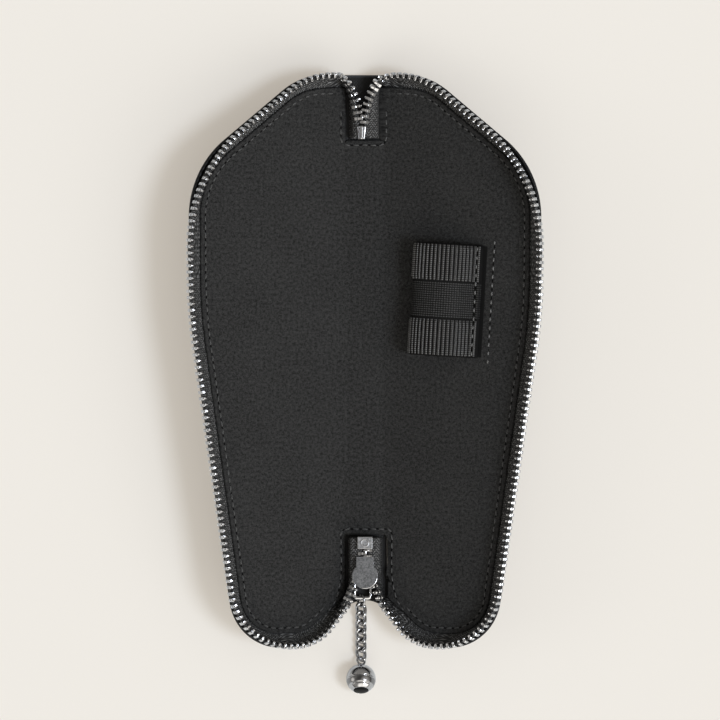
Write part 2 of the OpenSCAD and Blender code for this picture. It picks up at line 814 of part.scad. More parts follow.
// A twisted link: its ends lie level with the chain, and each side rises over one neighbour and
// dips under the other.
module curb_link(length, width, twist, d) {
    steps = 28;
    sides = 12;
    function spot(t) = [length / 2 * cos(t), width / 2 * sin(t), twist * sin(2 * t)];
    function way(t) = unit([-length / 2 * sin(t), width / 2 * cos(t), 2 * twist * cos(2 * t)]);
    function at(i, k) = (i % steps) * sides + k % sides;
    points = [
        for (i = [0:steps - 1])
            let (t = 360 * i / steps, out = unit(cross(way(t), [0, 0, 1])), up = cross(way(t), out))
            for (k = [0:sides - 1])
                let (a = 360 * k / sides) spot(t) + (out * cos(a) + up * sin(a)) * d / 2
    ];
    faces = [
        for (i = [0:steps - 1]) for (k = [0:sides - 1]) each [
            [at(i, k), at(i, k + 1), at(i + 1, k + 1)],
            [at(i, k), at(i + 1, k + 1), at(i + 1, k)]
        ]
    ];
    polyhedron(points, faces, convexity = 6);
}

module chain_link(k) {
    a = bearing(k);
    b = bearing(k + 1);
    color([0.55, 0.55, 0.57])
        at_frame((a + b) / 2, b - a, [0, 0, 1])
            if (k == 0)
                rotate([first_roll, 0, 0])
                    flat_link(link_pitch + link_d + link_play, link_w, link_d);
            else
                curb_link(link_pitch + curb_d + link_play, curb_w, curb_twist, curb_d);
}

ball_r = ball_d / 2;
eye_out = ball_r + eye_r + eye_d / 2;
eye_bearing = eye_out + eye_r - eye_d / 2;
chain_end = bearing(7);
ball_tilt = asin((ball_r - chain_end[2]) / eye_bearing);
ball_centre = [chain_x, chain_end[1] - eye_bearing * cos(ball_tilt), ball_r];
// Turn of the eye about the ball's axis, which sets it across the wire of the last link.
eye_turn = 65;

// The ball's own frame: its axis is z, with the eye at +z.
module on_ball() {
    translate(ball_centre)
        rotate([-90 - ball_tilt, 0, 0])
            children();
}

inset_depth = 0.9;
inset_seat = sqrt(ball_r * ball_r - inset_d * inset_d / 4);
inset_clear = 0.03;

module ball_shell() {
    color([0.5, 0.5, 0.52]) on_ball()
        difference() {
            sphere(d = ball_d, $fn = 72);
            for (s = [-1, 1])
                translate([0, 0, s * band_w / 2])
                    rotate_extrude($fn = 72)
                        translate([sqrt(ball_r * ball_r - band_w * band_w / 4) - groove / 2, -groove / 2])
                            square([groove * 2, groove]);
            translate([0, 0, -ball_r - 1])
                cylinder(d = inset_d, h = 1 + ball_r - inset_seat + inset_depth);
            translate([0, 0, ball_r - 1.4])
                cylinder(d = eye_d + 0.3 + 2 * inset_clear, h = 3, $fn = 24);
        }
}

module ball_inset() {
    plug_r = inset_d / 2 - inset_clear;
    dome = 0.55;
    color("black") on_ball()
        translate([0, 0, inset_depth - inset_seat - inset_clear])
            mirror([0, 0, 1])
                union() {
                    cylinder(r = plug_r, h = inset_depth - 0.15);
                    translate([0, 0, inset_depth - 0.15])
                        cylinder(r1 = plug_r, r2 = plug_r * 0.55, h = dome);
                }
}

module ball_eye() {
    color(steel) on_ball() {
        translate([0, 0, eye_out])
            rotate([0, -90, -eye_turn])
                rotate_extrude($fn = 60)
                    translate([eye_r, 0])
                        circle(d = eye_d, $fn = 28);
        translate([0, 0, ball_r - 1.35])
            cylinder(d = eye_d + 0.3, h = 1.35 + eye_d * 0.6, $fn = 24);
    }
}

// ---- pen loop ----
module pen_loop() {
    round_r = loop_h / 2;
    inner_h = loop_h - 2 * elastic_t;
    seat = 0.02;
    tab_t = 2 * elastic_t;
    color([0.12, 0.12, 0.12]) on_half(1)
        translate([loop_u, loop_v, seat])
            rotate([0, 0, -loop_lean])
                translate([0, loop_l / 2, 0])
                    rotate([90, 0, 0])
                        linear_extrude(loop_l)
                            difference() {
                                union() {
                                    translate([round_r, round_r]) circle(round_r);
                                    polygon([
                                        [round_r, 0], [loop_w + loop_tab, 0], [loop_w + loop_tab, tab_t],
                                        [loop_w, tab_t], [loop_w * 0.72, loop_h * 0.86],
                                        [loop_w * 0.55, loop_h], [round_r, loop_h]
                                    ]);
                                }
                                translate([round_r, round_r]) circle(inner_h / 2);
                                polygon([
                                    [round_r, elastic_t], [loop_w - elastic_t * 1.6, elastic_t],
                                    [loop_w * 0.68, loop_h * 0.86 - elastic_t],
                                    [loop_w * 0.53, loop_h - elastic_t], [round_r, loop_h - elastic_t]
                                ]);
                            }
}

module loop_stitches() {
    count = floor((loop_l - 2) / stitch_pitch);
    start = (loop_l - count * stitch_pitch) / 2;
    color(black) on_half(1)
        translate([loop_u, loop_v, 2 * elastic_t + 0.04])
            rotate([0, 0, -loop_lean])
                for (k = [0:count])
                    translate([loop_w + loop_tab / 2, start + k * stitch_pitch - loop_l / 2, 0])
                        rotate([0, 0, 90])
                            stitch(stitch_l, thread_d);
}

outer_spine();
board_spine();
lining_spine();
free_tape(head_v_line, -1, 1, head_bend, head_knee);  // zip_tape_head_left
free_tape(head_v_line, 1, 1, head_bend, head_knee);  // zip_tape_head_right
free_tape(foot_v_line, -1, 0, foot_bend, foot_knee);  // zip_tape_foot_left
free_tape(foot_v_line, 1, 0, foot_bend, foot_knee);  // zip_tape_foot_right
free_teeth(head_v_line, -1, 1, clip_l + 0.6);  // zip_teeth_head_left
free_teeth(head_v_line, 1, 1, clip_l + 0.6);  // zip_teeth_head_right
free_teeth(foot_v_line, -1, 0, box_l + 0.4);  // zip_teeth_foot_left
free_teeth(foot_v_line, 1, 0, box_l + 0.4);  // zip_teeth_foot_right
zip_end_clip();
zip_retaining_box();
outer_half(-1);  // outer_left
board_half(-1);  // board_left
lining_half(-1);  // lining_left
tape_half(-1);  // zip_tape_left
teeth_half(-1);  // zip_teeth_left
outer_half(1);  // outer_right
board_half(1);  // board_right
lining_half(1);  // lining_right
tape_half(1);  // zip_tape_right
teeth_half(1);  // zip_teeth_right
pen_loop();
loop_stitches();
edge_stitches(-1);  // edge_stitches_left
edge_stitches(1);  // edge_stitches_right
slider_body();
pull_bail();
chain_link(0);  // chain_link_1
chain_link(1);  // chain_link_2
chain_link(2);  // chain_link_3
chain_link(3);  // chain_link_4
chain_link(4);  // chain_link_5
chain_link(5);  // chain_link_6
chain_link(6);  // chain_link_7
ball_shell();
ball_inset();
ball_eye();
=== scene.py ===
"""Fountain pen case: a zip-round leather case, open on its spine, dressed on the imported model."""
import math

import bmesh
import bpy
from mathutils import Matrix, Vector, noise


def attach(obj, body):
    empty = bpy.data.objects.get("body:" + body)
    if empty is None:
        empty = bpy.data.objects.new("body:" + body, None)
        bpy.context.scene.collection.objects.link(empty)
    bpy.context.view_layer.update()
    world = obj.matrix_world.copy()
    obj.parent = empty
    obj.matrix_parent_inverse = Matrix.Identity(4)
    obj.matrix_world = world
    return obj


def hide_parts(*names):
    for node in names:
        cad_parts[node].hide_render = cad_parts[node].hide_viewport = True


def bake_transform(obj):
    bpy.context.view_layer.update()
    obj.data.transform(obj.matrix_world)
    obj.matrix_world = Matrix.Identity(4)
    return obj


bl_info = {
    "name": "Fountain Pen Case",
    "version": (1, 0, 0),
    "blender": (4, 5, 0),
    "location": "View3D > Sidebar > Pen Case",
    "description": "Builds the leather, lining, zip, pull and loop of an open fountain pen case",
    "category": "Add Mesh",
}

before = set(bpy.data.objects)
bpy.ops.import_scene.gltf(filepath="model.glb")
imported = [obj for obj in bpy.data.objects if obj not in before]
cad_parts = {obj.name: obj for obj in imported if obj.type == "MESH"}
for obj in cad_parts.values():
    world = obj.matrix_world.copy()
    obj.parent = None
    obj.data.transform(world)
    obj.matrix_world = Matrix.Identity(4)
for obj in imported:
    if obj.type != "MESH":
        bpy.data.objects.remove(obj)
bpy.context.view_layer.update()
MM = 0.001
# What one operator leaves for the next: the finishes, and the pivot of the pull.
TOLD = {}


# ---- sizes that a user would change ----

def size(name, mm, text):
    return bpy.props.FloatProperty(name=name, description=text, default=mm * MM, min=0.0,
                                   unit="LENGTH", subtype="DISTANCE", precision=5)


def colour(name, rgb, text):
    return bpy.props.FloatVectorProperty(name=name, description=text, default=rgb, size=3,
                                         min=0.0, max=1.0, subtype="COLOR")


def factor(name, value, text, top=1.0):
    return bpy.props.FloatProperty(name=name, description=text, default=value, min=0.0, max=top,
                                   subtype="FACTOR")


def degrees(name, value, text):
    return bpy.props.FloatProperty(name=name, description=text, default=math.radians(value),
                                   subtype="ANGLE", unit="ROTATION")


class CaseSizes(bpy.types.PropertyGroup):
    spine_width: size("Spine width", 12.0, "Width of the flat spine, fold line to fold line")
    spine_head: size("Spine head", 85.4, "Origin to the head edge of the spine leather")
    spine_foot: size("Spine foot", 74.2, "Origin to the foot corners of the spine leather")
    foot_arch: size("Foot arch", 2.2, "Height of the arch in the foot edge of the spine")
    leather: size("Leather", 1.2, "Thickness of the outer leather")
    board: size("Board and tape", 0.5, "Thickness of the board and of the zip tape beside it")
    lining: size("Lining", 0.8, "Thickness of the lining")
    rim_height: size("Rim height", 4.6, "Height of the leather edge above the flat leather")
    curl_width: size("Curl width", 8.0, "Width of the strip that curls up along the edge")
    fold_reach: size("Fold reach", 2.6, "Half the width of the bend beside the spine")
    open_tilt: degrees("Open tilt", 20, "Tilt of each half")
    head_window: size("Head window", 66.0, "Origin to the edge of the lining's head window")
    foot_window: size("Foot window", 52.5, "Origin to the edge of the lining's foot window")
    stitch_in: size("Stitch distance", 5.2, "Leather edge to the row of stitches")
    stitch_pitch: size("Stitch pitch", 2.46, "From one stitch to the next")
    thread: size("Thread", 0.46, "Thickness of the sewing thread")


class ZipSizes(bpy.types.PropertyGroup):
    head_shift: size("Head shift", 1.0, "How far the zip's head end lies left of the middle")
    foot_shift: size("Foot shift", 0.0, "How far its foot end and the slider lie left of it")
    pitch: size("Tooth pitch", 1.9, "From one tooth to the next on one tape")
    thick: size("Tooth thickness", 1.05, "Thickness of a tooth's shoulders along the tape")
    head: size("Head thickness", 0.92, "Thickness of a tooth's head along the tape")
    across: size("Tooth height", 2.0, "Height of a tooth across the tape")
    leg: size("Tooth legs", 2.1, "From a tooth's legs to the middle of the closed zip")
    reach: size("Tooth reach", 0.6, "How far a tooth passes the middle of the closed zip")
    height: size("Zip height", 6.6, "Closed zip above the table along the spine")
    slider_start: size("Slider place", 59.1, "Origin to the slider's rear")
    slider_length: size("Slider length", 9.6, "Length of the slider")
    slider_rear: size("Slider rear", 5.2, "Width of the slider's rear")
    slider_mouth: size("Slider mouth", 7.7, "Width of the slider's mouth")
    wing: size("Wing", 0.9, "Thickness of each wing of the slider")
    channel: size("Channel", 2.5, "Clear height between the wings")


class PullSizes(bpy.types.PropertyGroup):
    bail_wire: size("Bail wire", 1.1, "Thickness of the bail's wire")
    bail_width: size("Bail width", 4.8, "Between the middles of the bail's arms")
    bail_length: size("Bail length", 6.4, "Pivot to the middle of the crossbar")
    bail_shift: size("Bail shift", 0.7, "How far the bail has slid sideways on the slider")
    chain_shift: size("Chain shift", 1.2, "How far the chain has slid sideways on the pull")
    link_wire: size("Round link wire", 0.75, "Thickness of the wire of the link on the bail")
    link_width: size("Round link width", 2.9, "Between the middles of that link's sides")
    curb_wire: size("Curb link wire", 1.05, "Thickness of the wire of a twisted link")
    curb_width: size("Curb link width", 2.45, "Between the middles of a twisted link's sides")
    curb_twist: size("Curb twist", 0.65, "How far the sides of a twisted link rise and dip")
    curb_slant: size("Curb slant", 0.55, "How far a twisted link's sides are set off lengthwise")
    link_pitch: size("Link pitch", 2.73, "Chain length that each link makes up")
    link_play: size("Link play", 0.08, "Play between two links")
    ball: size("Ball", 8.9, "Diameter of the ball")
    band: size("Band", 2.0, "Width of the band between the ball's grooves")
    band_shift: size("Band shift", 1.62, "How far the band lies from the middle to the inset")
    groove: size("Groove", 0.42, "Width and depth of a groove")
    inset: size("Inset", 4.6, "Diameter of the black inset")
    eye: size("Eye", 1.25, "Radius of the eye to the middle of its wire")
    eye_wire: size("Eye wire", 0.7, "Thickness of the eye's wire")


class LoopSizes(bpy.types.PropertyGroup):
    length: size("Length", 33.3, "Length of the pen loop along the pen")
    width: size("Width", 18.0, "Width of the empty loop")
    height: size("Height", 8.4, "Height of the empty loop")
    elastic: size("Elastic", 1.1, "Thickness of the elastic")
    tab: size("Tab", 2.4, "Width of the tab that is sewn down")
    from_fold: size("From the fold", 10.0, "Fold line to the near side of the loop")
    along: size("Along", 18.7, "Origin to the middle of the loop")
    rib_pitch: size("Rib pitch", 1.23, "From one rib of the elastic to the next")
    band: size("Plain band", 11.5, "Width of the plain woven band round the middle")
    lean: degrees("Lean", 3.5, "Lean of the loop")


class Looks(bpy.types.PropertyGroup):
    leather: colour("Leather", (0.004, 0.004, 0.0044), "Outer leather")
    lining: colour("Lining", (0.0225, 0.0225, 0.0225), "Lining")
    tape: colour("Zip tape", (0.04, 0.04, 0.04), "Woven zip tape")
    elastic: colour("Elastic", (0.04, 0.04, 0.04), "Ribbed elastic")
    thread: colour("Thread", (0.05, 0.05, 0.05), "Sewing thread of the edge")
    loop_thread: colour("Loop thread", (0.13, 0.13, 0.13), "Sewing thread of the pen loop")
    nickel: colour("Nickel", (0.56, 0.56, 0.57), "Polished nickel plate")
    satin: colour("Satin nickel", (0.31, 0.31, 0.315), "Satin nickel plate of the box")
    cast: colour("Cast metal", (0.165, 0.165, 0.167), "Blasted dark nickel of the slider")
    grain: factor("Grain", 0.5, "Depth of the leather's grain")


class StageSizes(bpy.types.PropertyGroup):
    floor: colour("Floor", (0.86, 0.87, 0.86), "Colour of the floor")
    paper: colour("Paper", (0.836, 0.745, 0.64), "Colour of the floor as the camera sees it")
    paper_share: factor("Paper share", 0.42, "How much of that colour shows in any light")
    key: factor("Key", 1.335, "Strength of the key light", 5.0)
    key_size: degrees("Key size", 17, "Width of the key light")
    sky: factor("Sky", 0.885, "Strength of the even light from all sides", 2.0)
    lens: bpy.props.FloatProperty(name="Lens", description="Focal length in millimetres",
                                  default=400.0, min=10.0, subtype="NONE")
    picture: size("Picture width", 216.0, "Width of the picture at the height of the zip")


GROUPS = {"case": CaseSizes, "zip": ZipSizes, "pull": PullSizes, "loop": LoopSizes,
          "looks": Looks, "stage": StageSizes}


def of(group):
    """The named group of sizes."""
    return getattr(bpy.context.scene, "pen_case_" + group)


def mm(group, name):
    """A length from one of the groups, in millimetres."""
    return getattr(of(group), name) / MM


# ---- plane geometry of a half: u away from the fold, v along it, w up from the lining ----

# Outlines of a half, by their corners and the radii that round them: the line of the teeth and
# the edge of the leather, with the samples on their straight runs and round their corners. RISE
# is the stretch beside the fold over which the edge comes to curl up.
TOOTH_CORNERS = [(3.0, -76.0), (10.6, -85.5), (35.3, -86.2), (50.7, 14.0), (51.1, 55.4),
                 (12.8, 85.7), (3.4, 85.3)]
TOOTH_RADII = [15, 19, 150, 45, 22]
LEATHER_CORNERS = [(0.0, -74.2), (9.9, -85.9), (35.3, -86.6), (50.0, 14.0), (50.4, 56.8),
                   (14.0, 86.2), (0.0, 85.4)]
LEATHER_RADII = [15, 16, 150, 30, 22]
RUN_STEPS = [6, 4, 30, 8, 14, 5]
ARC_STEPS = [14, 20, 8, 20, 14]
RISE = 8.0


def ease(x):
    """Goes from 0 to 1 as x does, level at both ends."""
    x = min(max(x, 0.0), 1.0)
    return x * x * (3 - 2 * x)


def outline(points, radii):
    """Points with their inward normals along straight runs and round corners."""
    points = [Vector(p) for p in points]

    def left(d):
        return Vector((-d[1], d[0]))

    corners = []
    for p, q, s, r in zip(points, points[1:], points[2:], radii):
        a, b = (q - p).normalized(), (s - q).normalized()
        angle = math.atan2(a[0] * b[1] - a[1] * b[0], a.dot(b))
        reach = r * math.tan(angle / 2)
        start = q - a * reach
        corners.append((start, q + b * reach, start + left(a) * r, left(a), angle, r))
    samples = []
    for j in range(len(points) - 1):
        start = points[0] if j == 0 else corners[j - 1][1]
        end = points[-1] if j == len(points) - 2 else corners[j][0]
        normal = left((end - start).normalized())
        samples += [(start.lerp(end, k / RUN_STEPS[j]), normal) for k in range(RUN_STEPS[j] + 1)]
        if j < len(corners):
            _, _, centre, first, angle, r = corners[j]
            for k in range(1, ARC_STEPS[j]):
                n = Matrix.Rotation(angle * k / ARC_STEPS[j], 2) @ first
                samples.append((centre - n * r, n))
    return samples


def place(side, u, v, w):
    """A point of the opened-out sheet, bent up beside the spine to where it lies."""
    reach = mm("case", "fold_reach")
    turn = of("case").open_tilt * ease((u + reach) / (2 * reach))
    x = mm("case", "spine_width") / 2 + u * math.cos(turn) - w * math.sin(turn)
    return Vector((side * x, v, stack() + u * math.sin(turn) + w * math.cos(turn)))


def tilt_dir(side, u, w):
    """A way in the plane of a half, away from the fold: u across it and w up from it."""
    turn = of("case").open_tilt
    return Vector((side * (u * math.cos(turn) - w * math.sin(turn)), 0,
                   u * math.sin(turn) + w * math.cos(turn)))


def stack():
    """Height of the layers, from the outer face of the leather to the top of the lining."""
    return mm("case", "leather") + mm("case", "board") + mm("case", "lining")


class Half:
    """The curled sheet of one half, sampled along its edge."""

    def __init__(self):
        self.teeth = outline(TOOTH_CORNERS, TOOTH_RADII)
        self.edge = outline(LEATHER_CORNERS, LEATHER_RADII)
        self.last = len(self.edge) - 1
        self.run = [0.0]
        for a, b in zip(self.edge, self.edge[1:]):
            self.run.append(self.run[-1] + (b[0] - a[0]).length)

    def rise(self, i):
        """How far the curl is up at sample i: 0 on the fold, 1 away from it."""
        return ease(self.edge[i][0][0] / RISE)

    def inward(self, i):
        """The way from the edge into the half at sample i."""
        up = Vector((0, 1 if i < self.last / 2 else -1))
        return up.lerp(self.edge[i][1], self.rise(i)).normalized()

    def curl(self, i, angle, h):
        """Point at station angle (90 at the rim, 0 on the flat), h above the outer face."""
        f = self.rise(i)
        rim, width = mm("case", "rim_height"), mm("case", "curl_width")
        a = math.radians(angle)
        d, w = width * (1 - math.sin(a)), rim * (1 - math.cos(a)) * f
        n = Vector((rim * math.sin(a), width * math.cos(a))).normalized()
        n = Vector((0, 1)).lerp(n, f).normalized()
        p = self.edge[i][0] + self.inward(i) * (d + h * n[0])
        return max(p[0], 0.0), p[1], w + h * n[1] - stack()

    def fold_v(self, i):
        """Where the row of points that starts at sample i meets the fold."""
        width = mm("case", "curl_width") + 2
        low, high = width - mm("case", "spine_foot"), mm("case", "spine_head") - width
        return low + (high - low) * self.run[i] / self.run[-1]

    def cloth(self, i, angle):
        """Where station angle of sample i lies on the cut sheet, for the grain to follow."""
        rim, width = mm("case", "rim_height"), mm("case", "curl_width")
        arc = math.radians(angle) * (rim + width) / 2
        p = self.edge[i][0] + self.inward(i) * (width - arc)
        return p[0], p[1]


def outer_arch(u):
    """Where the foot edge of the spine leather lies, u away from the fold line."""
    half = mm("case", "spine_width") / 2
    x = half + u
    return mm("case", "foot_arch") * max(0.0, 1 - (x / half) ** 2) - mm("case", "spine_foot")


# ---- meshes ----

TINY = 1e-6


def mesh_object(name, verts, faces, uv=None, sharp=None, smooth=True):
    """A new piece from points in millimetres. sharp tells from the two ends of an edge whether
    it is crisp."""
    mesh = bpy.data.meshes.new(name)
    mesh.from_pydata([Vector(v) * MM for v in verts], [], faces)
    if uv:
        layer = mesh.uv_layers.new(name="Cut sheet")
        for loop in mesh.loops:
            layer.data[loop.index].uv = uv[loop.vertex_index]
    for face in mesh.polygons:
        face.use_smooth = smooth
    if sharp:
        for edge in mesh.edges:
            edge.use_edge_sharp = sharp(*edge.vertices)
    mesh.validate()
    obj = bpy.data.objects.new(name, mesh)
    bpy.context.scene.collection.objects.link(obj)
    return obj


def grid_quads(rows, columns):
    """The faces of a grid of points that are numbered row by row."""
    return [(i * columns + k, (i + 1) * columns + k, (i + 1) * columns + k + 1,
             i * columns + k + 1)
            for i in range(rows - 1) for k in range(columns - 1)]


def thick_mesh(name, quads, low, high, uv, bulge=0.3, seam=None):
    """A closed sheet between two layers of points that share one net of quads. Its edge is
    rounded by bulge, apart from where seam says that a point lies on a seam."""
    count = len(low)
    edges = {}
    for quad in quads:
        for a, b in zip(quad, quad[1:] + quad[:1]):
            edges[(a, b)] = quad
    border = [(a, b) for a, b in edges if (b, a) not in edges]
    out = {q: Vector() for edge in border for q in edge}
    for a, b in border:
        if seam and seam(high[a]) and seam(high[b]):
            continue
        middle = sum((high[q] for q in edges[(a, b)]), Vector()) / 4
        push = (high[a] + high[b]) / 2 - middle
        along = (high[b] - high[a]).normalized()
        push = (push - along * push.dot(along)).normalized()
        for q in (a, b):
            out[q] += push
    verts = list(low) + list(high)
    ring = {}
    for q, push in out.items():
        swell = bulge * (high[q] - low[q]).length
        if seam and seam(high[q]):
            push.x = 0
        ring[q] = len(verts)
        verts.append((low[q] + high[q]) / 2 + push.normalized() * swell)
    faces = [tuple(reversed(quad)) for quad in quads]
    faces += [tuple(count + q for q in quad) for quad in quads]
    for a, b in border:
        faces.append((a, b, ring[b], ring[a]))
        faces.append((ring[a], ring[b], count + b, count + a))
    flat = list(uv) + list(uv) + [uv[q] for q in ring]
    crisp = (lambda a, b: seam(Vector(verts[a])) and seam(Vector(verts[b]))) if seam else None
    return mesh_object(name, verts, faces, flat, crisp)


def thick_grid(rows, thickness):
    """The two faces of a thin sheet whose middle is a grid of points."""
    n, m = len(rows), len(rows[0])
    low, high = [], []
    for i in range(n):
        for k in range(m):
            a = rows[min(i + 1, n - 1)][k] - rows[max(i - 1, 0)][k]
            b = rows[i][min(k + 1, m - 1)] - rows[i][max(k - 1, 0)]
            normal = a.cross(b).normalized() * thickness / 2
            low.append(rows[i][k] - normal)
            high.append(rows[i][k] + normal)
    return low, high


def arc(radius, first, last, steps):
    """Points of an arc from one angle to another, both included, as (x, y)."""
    turns = (first + (last - first) * k / steps for k in range(steps + 1))
    return [(radius * math.cos(a), radius * math.sin(a)) for a in turns]


def circle(radius, sides):
    """Points of a full circle, as (x, y)."""
    return arc(radius, 0.0, 2 * math.pi, sides)[:-1]


def tube(path, radius, closed=False, sides=14):
    """Points and faces of a round wire along a path."""
    n = len(path)
    verts, faces = [], []
    normal = None
    for i, p in enumerate(path):
        before = path[i - 1] if closed or i else path[0]
        after = path[(i + 1) % n] if closed or i < n - 1 else path[-1]
        t = (after - before).normalized()
        if normal is None:
            normal = t.orthogonal().normalized()
        normal = (normal - t * normal.dot(t)).normalized()
        other = t.cross(normal)
        verts += [p + normal * x + other * y for x, y in circle(radius, sides)]
    for i in range(n if closed else n - 1):
        for s in range(sides):
            a, b = i * sides + s, i * sides + (s + 1) % sides
            c, d = ((i + 1) % n) * sides + s, ((i + 1) % n) * sides + (s + 1) % sides
            faces.append((a, b, d, c))
    if not closed:
        faces.append(tuple(reversed(range(sides))))
        faces.append(tuple(range((n - 1) * sides, n * sides)))
    return verts, faces


def joined(*parts):
    """Several lots of points and faces as one."""
    verts, faces = [], []
    for v, f in parts:
        start = len(verts)
        verts += list(v)
        faces += [tuple(start + q for q in face) for face in f]
    return verts, faces


def prism(shape, low, high):
    """Points and faces of an upright prism over a flat outline that runs anticlockwise."""
    n = len(shape)
    verts = [Vector((x, y, low)) for x, y in shape] + [Vector((x, y, high)) for x, y in shape]
    faces = [tuple(reversed(range(n))), tuple(range(n, 2 * n))]
    faces += [(q, (q + 1) % n, n + (q + 1) % n, n + q) for q in range(n)]
    return verts, faces


def lathe(profile, sides=64):
    """Points and faces of a closed turned shape: profile goes from pole to pole as (r, z)."""
    verts, faces, rings = [], [], []
    for r, z in profile:
        if r < TINY:
            rings.append([len(verts)])
            verts.append(Vector((0, 0, z)))
        else:
            rings.append(list(range(len(verts), len(verts) + sides)))
            verts += [Vector((x, y, z)) for x, y in circle(r, sides)]
    for a, b in zip(rings, rings[1:]):
        for s in range(sides):
            t = (s + 1) % sides
            if len(a) == 1:
                faces.append((a[0], b[t], b[s]))
            elif len(b) == 1:
                faces.append((a[s], a[t], b[0]))
            else:
                faces.append((a[s], a[t], b[t], b[s]))
    return verts, faces


def at(stand, part):
    """Points and faces, moved to a stand."""
    return [stand @ v for v in part[0]], part[1]


def bevelled(obj, width):
    """Rounds the sharp edges of a piece, which take its second finish."""
    mod = obj.modifiers.new("Rounded edges", "BEVEL")
    mod.material = 1
    mod.width = width * MM
    mod.segments = 3
    mod.limit_method = "ANGLE"
    mod.angle_limit = math.radians(35)
    mod.harden_normals = True


def outward(obj):
    """Merges doubles and turns all faces outwards."""
    work = bmesh.new()
    work.from_mesh(obj.data)
    bmesh.ops.remove_doubles(work, verts=work.verts, dist=1e-7)
    bmesh.ops.recalc_face_normals(work, faces=work.faces)
    work.to_mesh(obj.data)
    work.free()
    return obj


def dress(obj, material, *, body=None, blend=None, replaces=(), edges=None):
    """Gives a piece its finishes and body, hides the nodes it stands for; a fold just bakes its
    transform.
    """
    if material:
        obj.data.materials.clear()
        obj.data.materials.append(material)
    if edges:
        obj.data.materials.append(edges)
    if body:
        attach(obj, body)
    if blend:
        half = mm("case", "spine_width") / 2
        reach = mm("case", "fold_reach")
        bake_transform(obj)
    if replaces:
        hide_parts(*replaces)
    return obj


# ---- node trees ----

class Net:
    """Short hand for building a node tree."""

    def __init__(self, tree):
        self.tree = tree

    def add(self, kind, sockets=None, **settings):
        """A new node: sockets holds its inputs, each a plain value or a socket to link."""
        node = self.tree.nodes.new(kind)
        for key, value in settings.items():
            setattr(node, key, value)
        for key, value in (sockets or {}).items():
            socket = node.inputs[key]
            if isinstance(value, bpy.types.NodeSocket):
                self.tree.links.new(value, socket)
            else:
                socket.default_value = value
        return node

    def math(self, operation, a, b=0.0):
        return self.add("ShaderNodeMath", {0: a, 1: b}, operation=operation).outputs[0]


def tree_of(name, inputs, result, build):
    """The geometry node tree of that name, with its inputs as (label, kind, value). What build
    gives is made real and takes the finish."""
    if name in bpy.data.node_groups:
        return bpy.data.node_groups[name]
    tree = bpy.data.node_groups.new(name, "GeometryNodeTree")
    net = Net(tree)
    for label, kind, value in inputs:
        socket = tree.interface.new_socket(label, in_out="INPUT", socket_type="NodeSocket" + kind)
        if value is not None:
            socket.default_value = value
    tree.interface.new_socket(result, in_out="OUTPUT", socket_type="NodeSocketGeometry")
    given = net.add("NodeGroupInput").outputs
    real = net.add("GeometryNodeRealizeInstances", {"Geometry": build(net, given)})
    done = net.add("GeometryNodeSetMaterial", {"Geometry": real.outputs["Geometry"],
                                               "Material": given["Finish"]})
    net.add("NodeGroupOutput", {result: done.outputs["Geometry"]})
    return tree


def row_tree():
    """Geometry nodes that set copies of a small piece along a path."""
    def build(net, given):
        curve = net.add("GeometryNodeMeshToCurve", {"Mesh": given["Path"]}).outputs["Curve"]
        even = net.add("GeometryNodeResampleCurve", {"Curve": curve, "Count": given["Count"]})
        along = net.add("GeometryNodeInputTangent").outputs["Tangent"]
        head = net.add("GeometryNodeInputNamedAttribute", {"Name": "head"},
                       data_type="FLOAT_VECTOR").outputs["Attribute"]
        turn = net.add("FunctionNodeAxesToRotation", {0: head, 1: along},
                       primary_axis="Z", secondary_axis="X").outputs["Rotation"]
        more = given["Wobble"]
        less = net.math("MULTIPLY", more, -1.0)
        low, high = (net.add("ShaderNodeCombineXYZ", {"X": w, "Y": w, "Z": w}).outputs[0]
                     for w in (less, more))
        chance = net.add("FunctionNodeRandomValue",
                         {"Min": low, "Max": high, "Seed": given["Seed"]},
                         data_type="FLOAT_VECTOR").outputs["Value"]
        shake = net.add("FunctionNodeEulerToRotation", {"Euler": chance}).outputs["Rotation"]
        turned = net.add("FunctionNodeRotateRotation", {"Rotation": turn, "Rotate By": shake},
                         rotation_space="LOCAL").outputs["Rotation"]
        piece = net.add("GeometryNodeObjectInfo", {"Object": given["Piece"]}).outputs["Geometry"]
        return net.add("GeometryNodeInstanceOnPoints",
                       {"Points": even.outputs["Curve"], "Instance": piece,
                        "Rotation": turned}).outputs["Instances"]

    return tree_of("Row along a path", [
        ("Path", "Geometry", None), ("Piece", "Object", None), ("Count", "Int", 10),
        ("Wobble", "Float", 0.0), ("Seed", "Int", 7), ("Finish", "Material", None)], "Row", build)


# A modifier's tree takes a geometry first, which the trees of the links have no use for.
LINK_INPUTS = [("Nothing", "Geometry", None), ("Length", "Float", 0.004),
               ("Width", "Float", 0.003), ("Wire", "Float", 0.0004), ("Middle", "Vector", None),
               ("Turn", "Rotation", None), ("Finish", "Material", None)]


def wire_along(net, given, curve, sides):
    """A wire along a curve, turned and moved to its place."""
    ring = net.add("GeometryNodeCurvePrimitiveCircle",
                   {"Resolution": sides, "Radius": given["Wire"]}, mode="RADIUS")
    wire = net.add("GeometryNodeCurveToMesh", {"Curve": curve, "Profile Curve": ring.outputs[0]})
    return net.add("GeometryNodeTransform", {"Geometry": wire.outputs[0],
                                             "Translation": given["Middle"],
                                             "Rotation": given["Turn"]}).outputs[0]


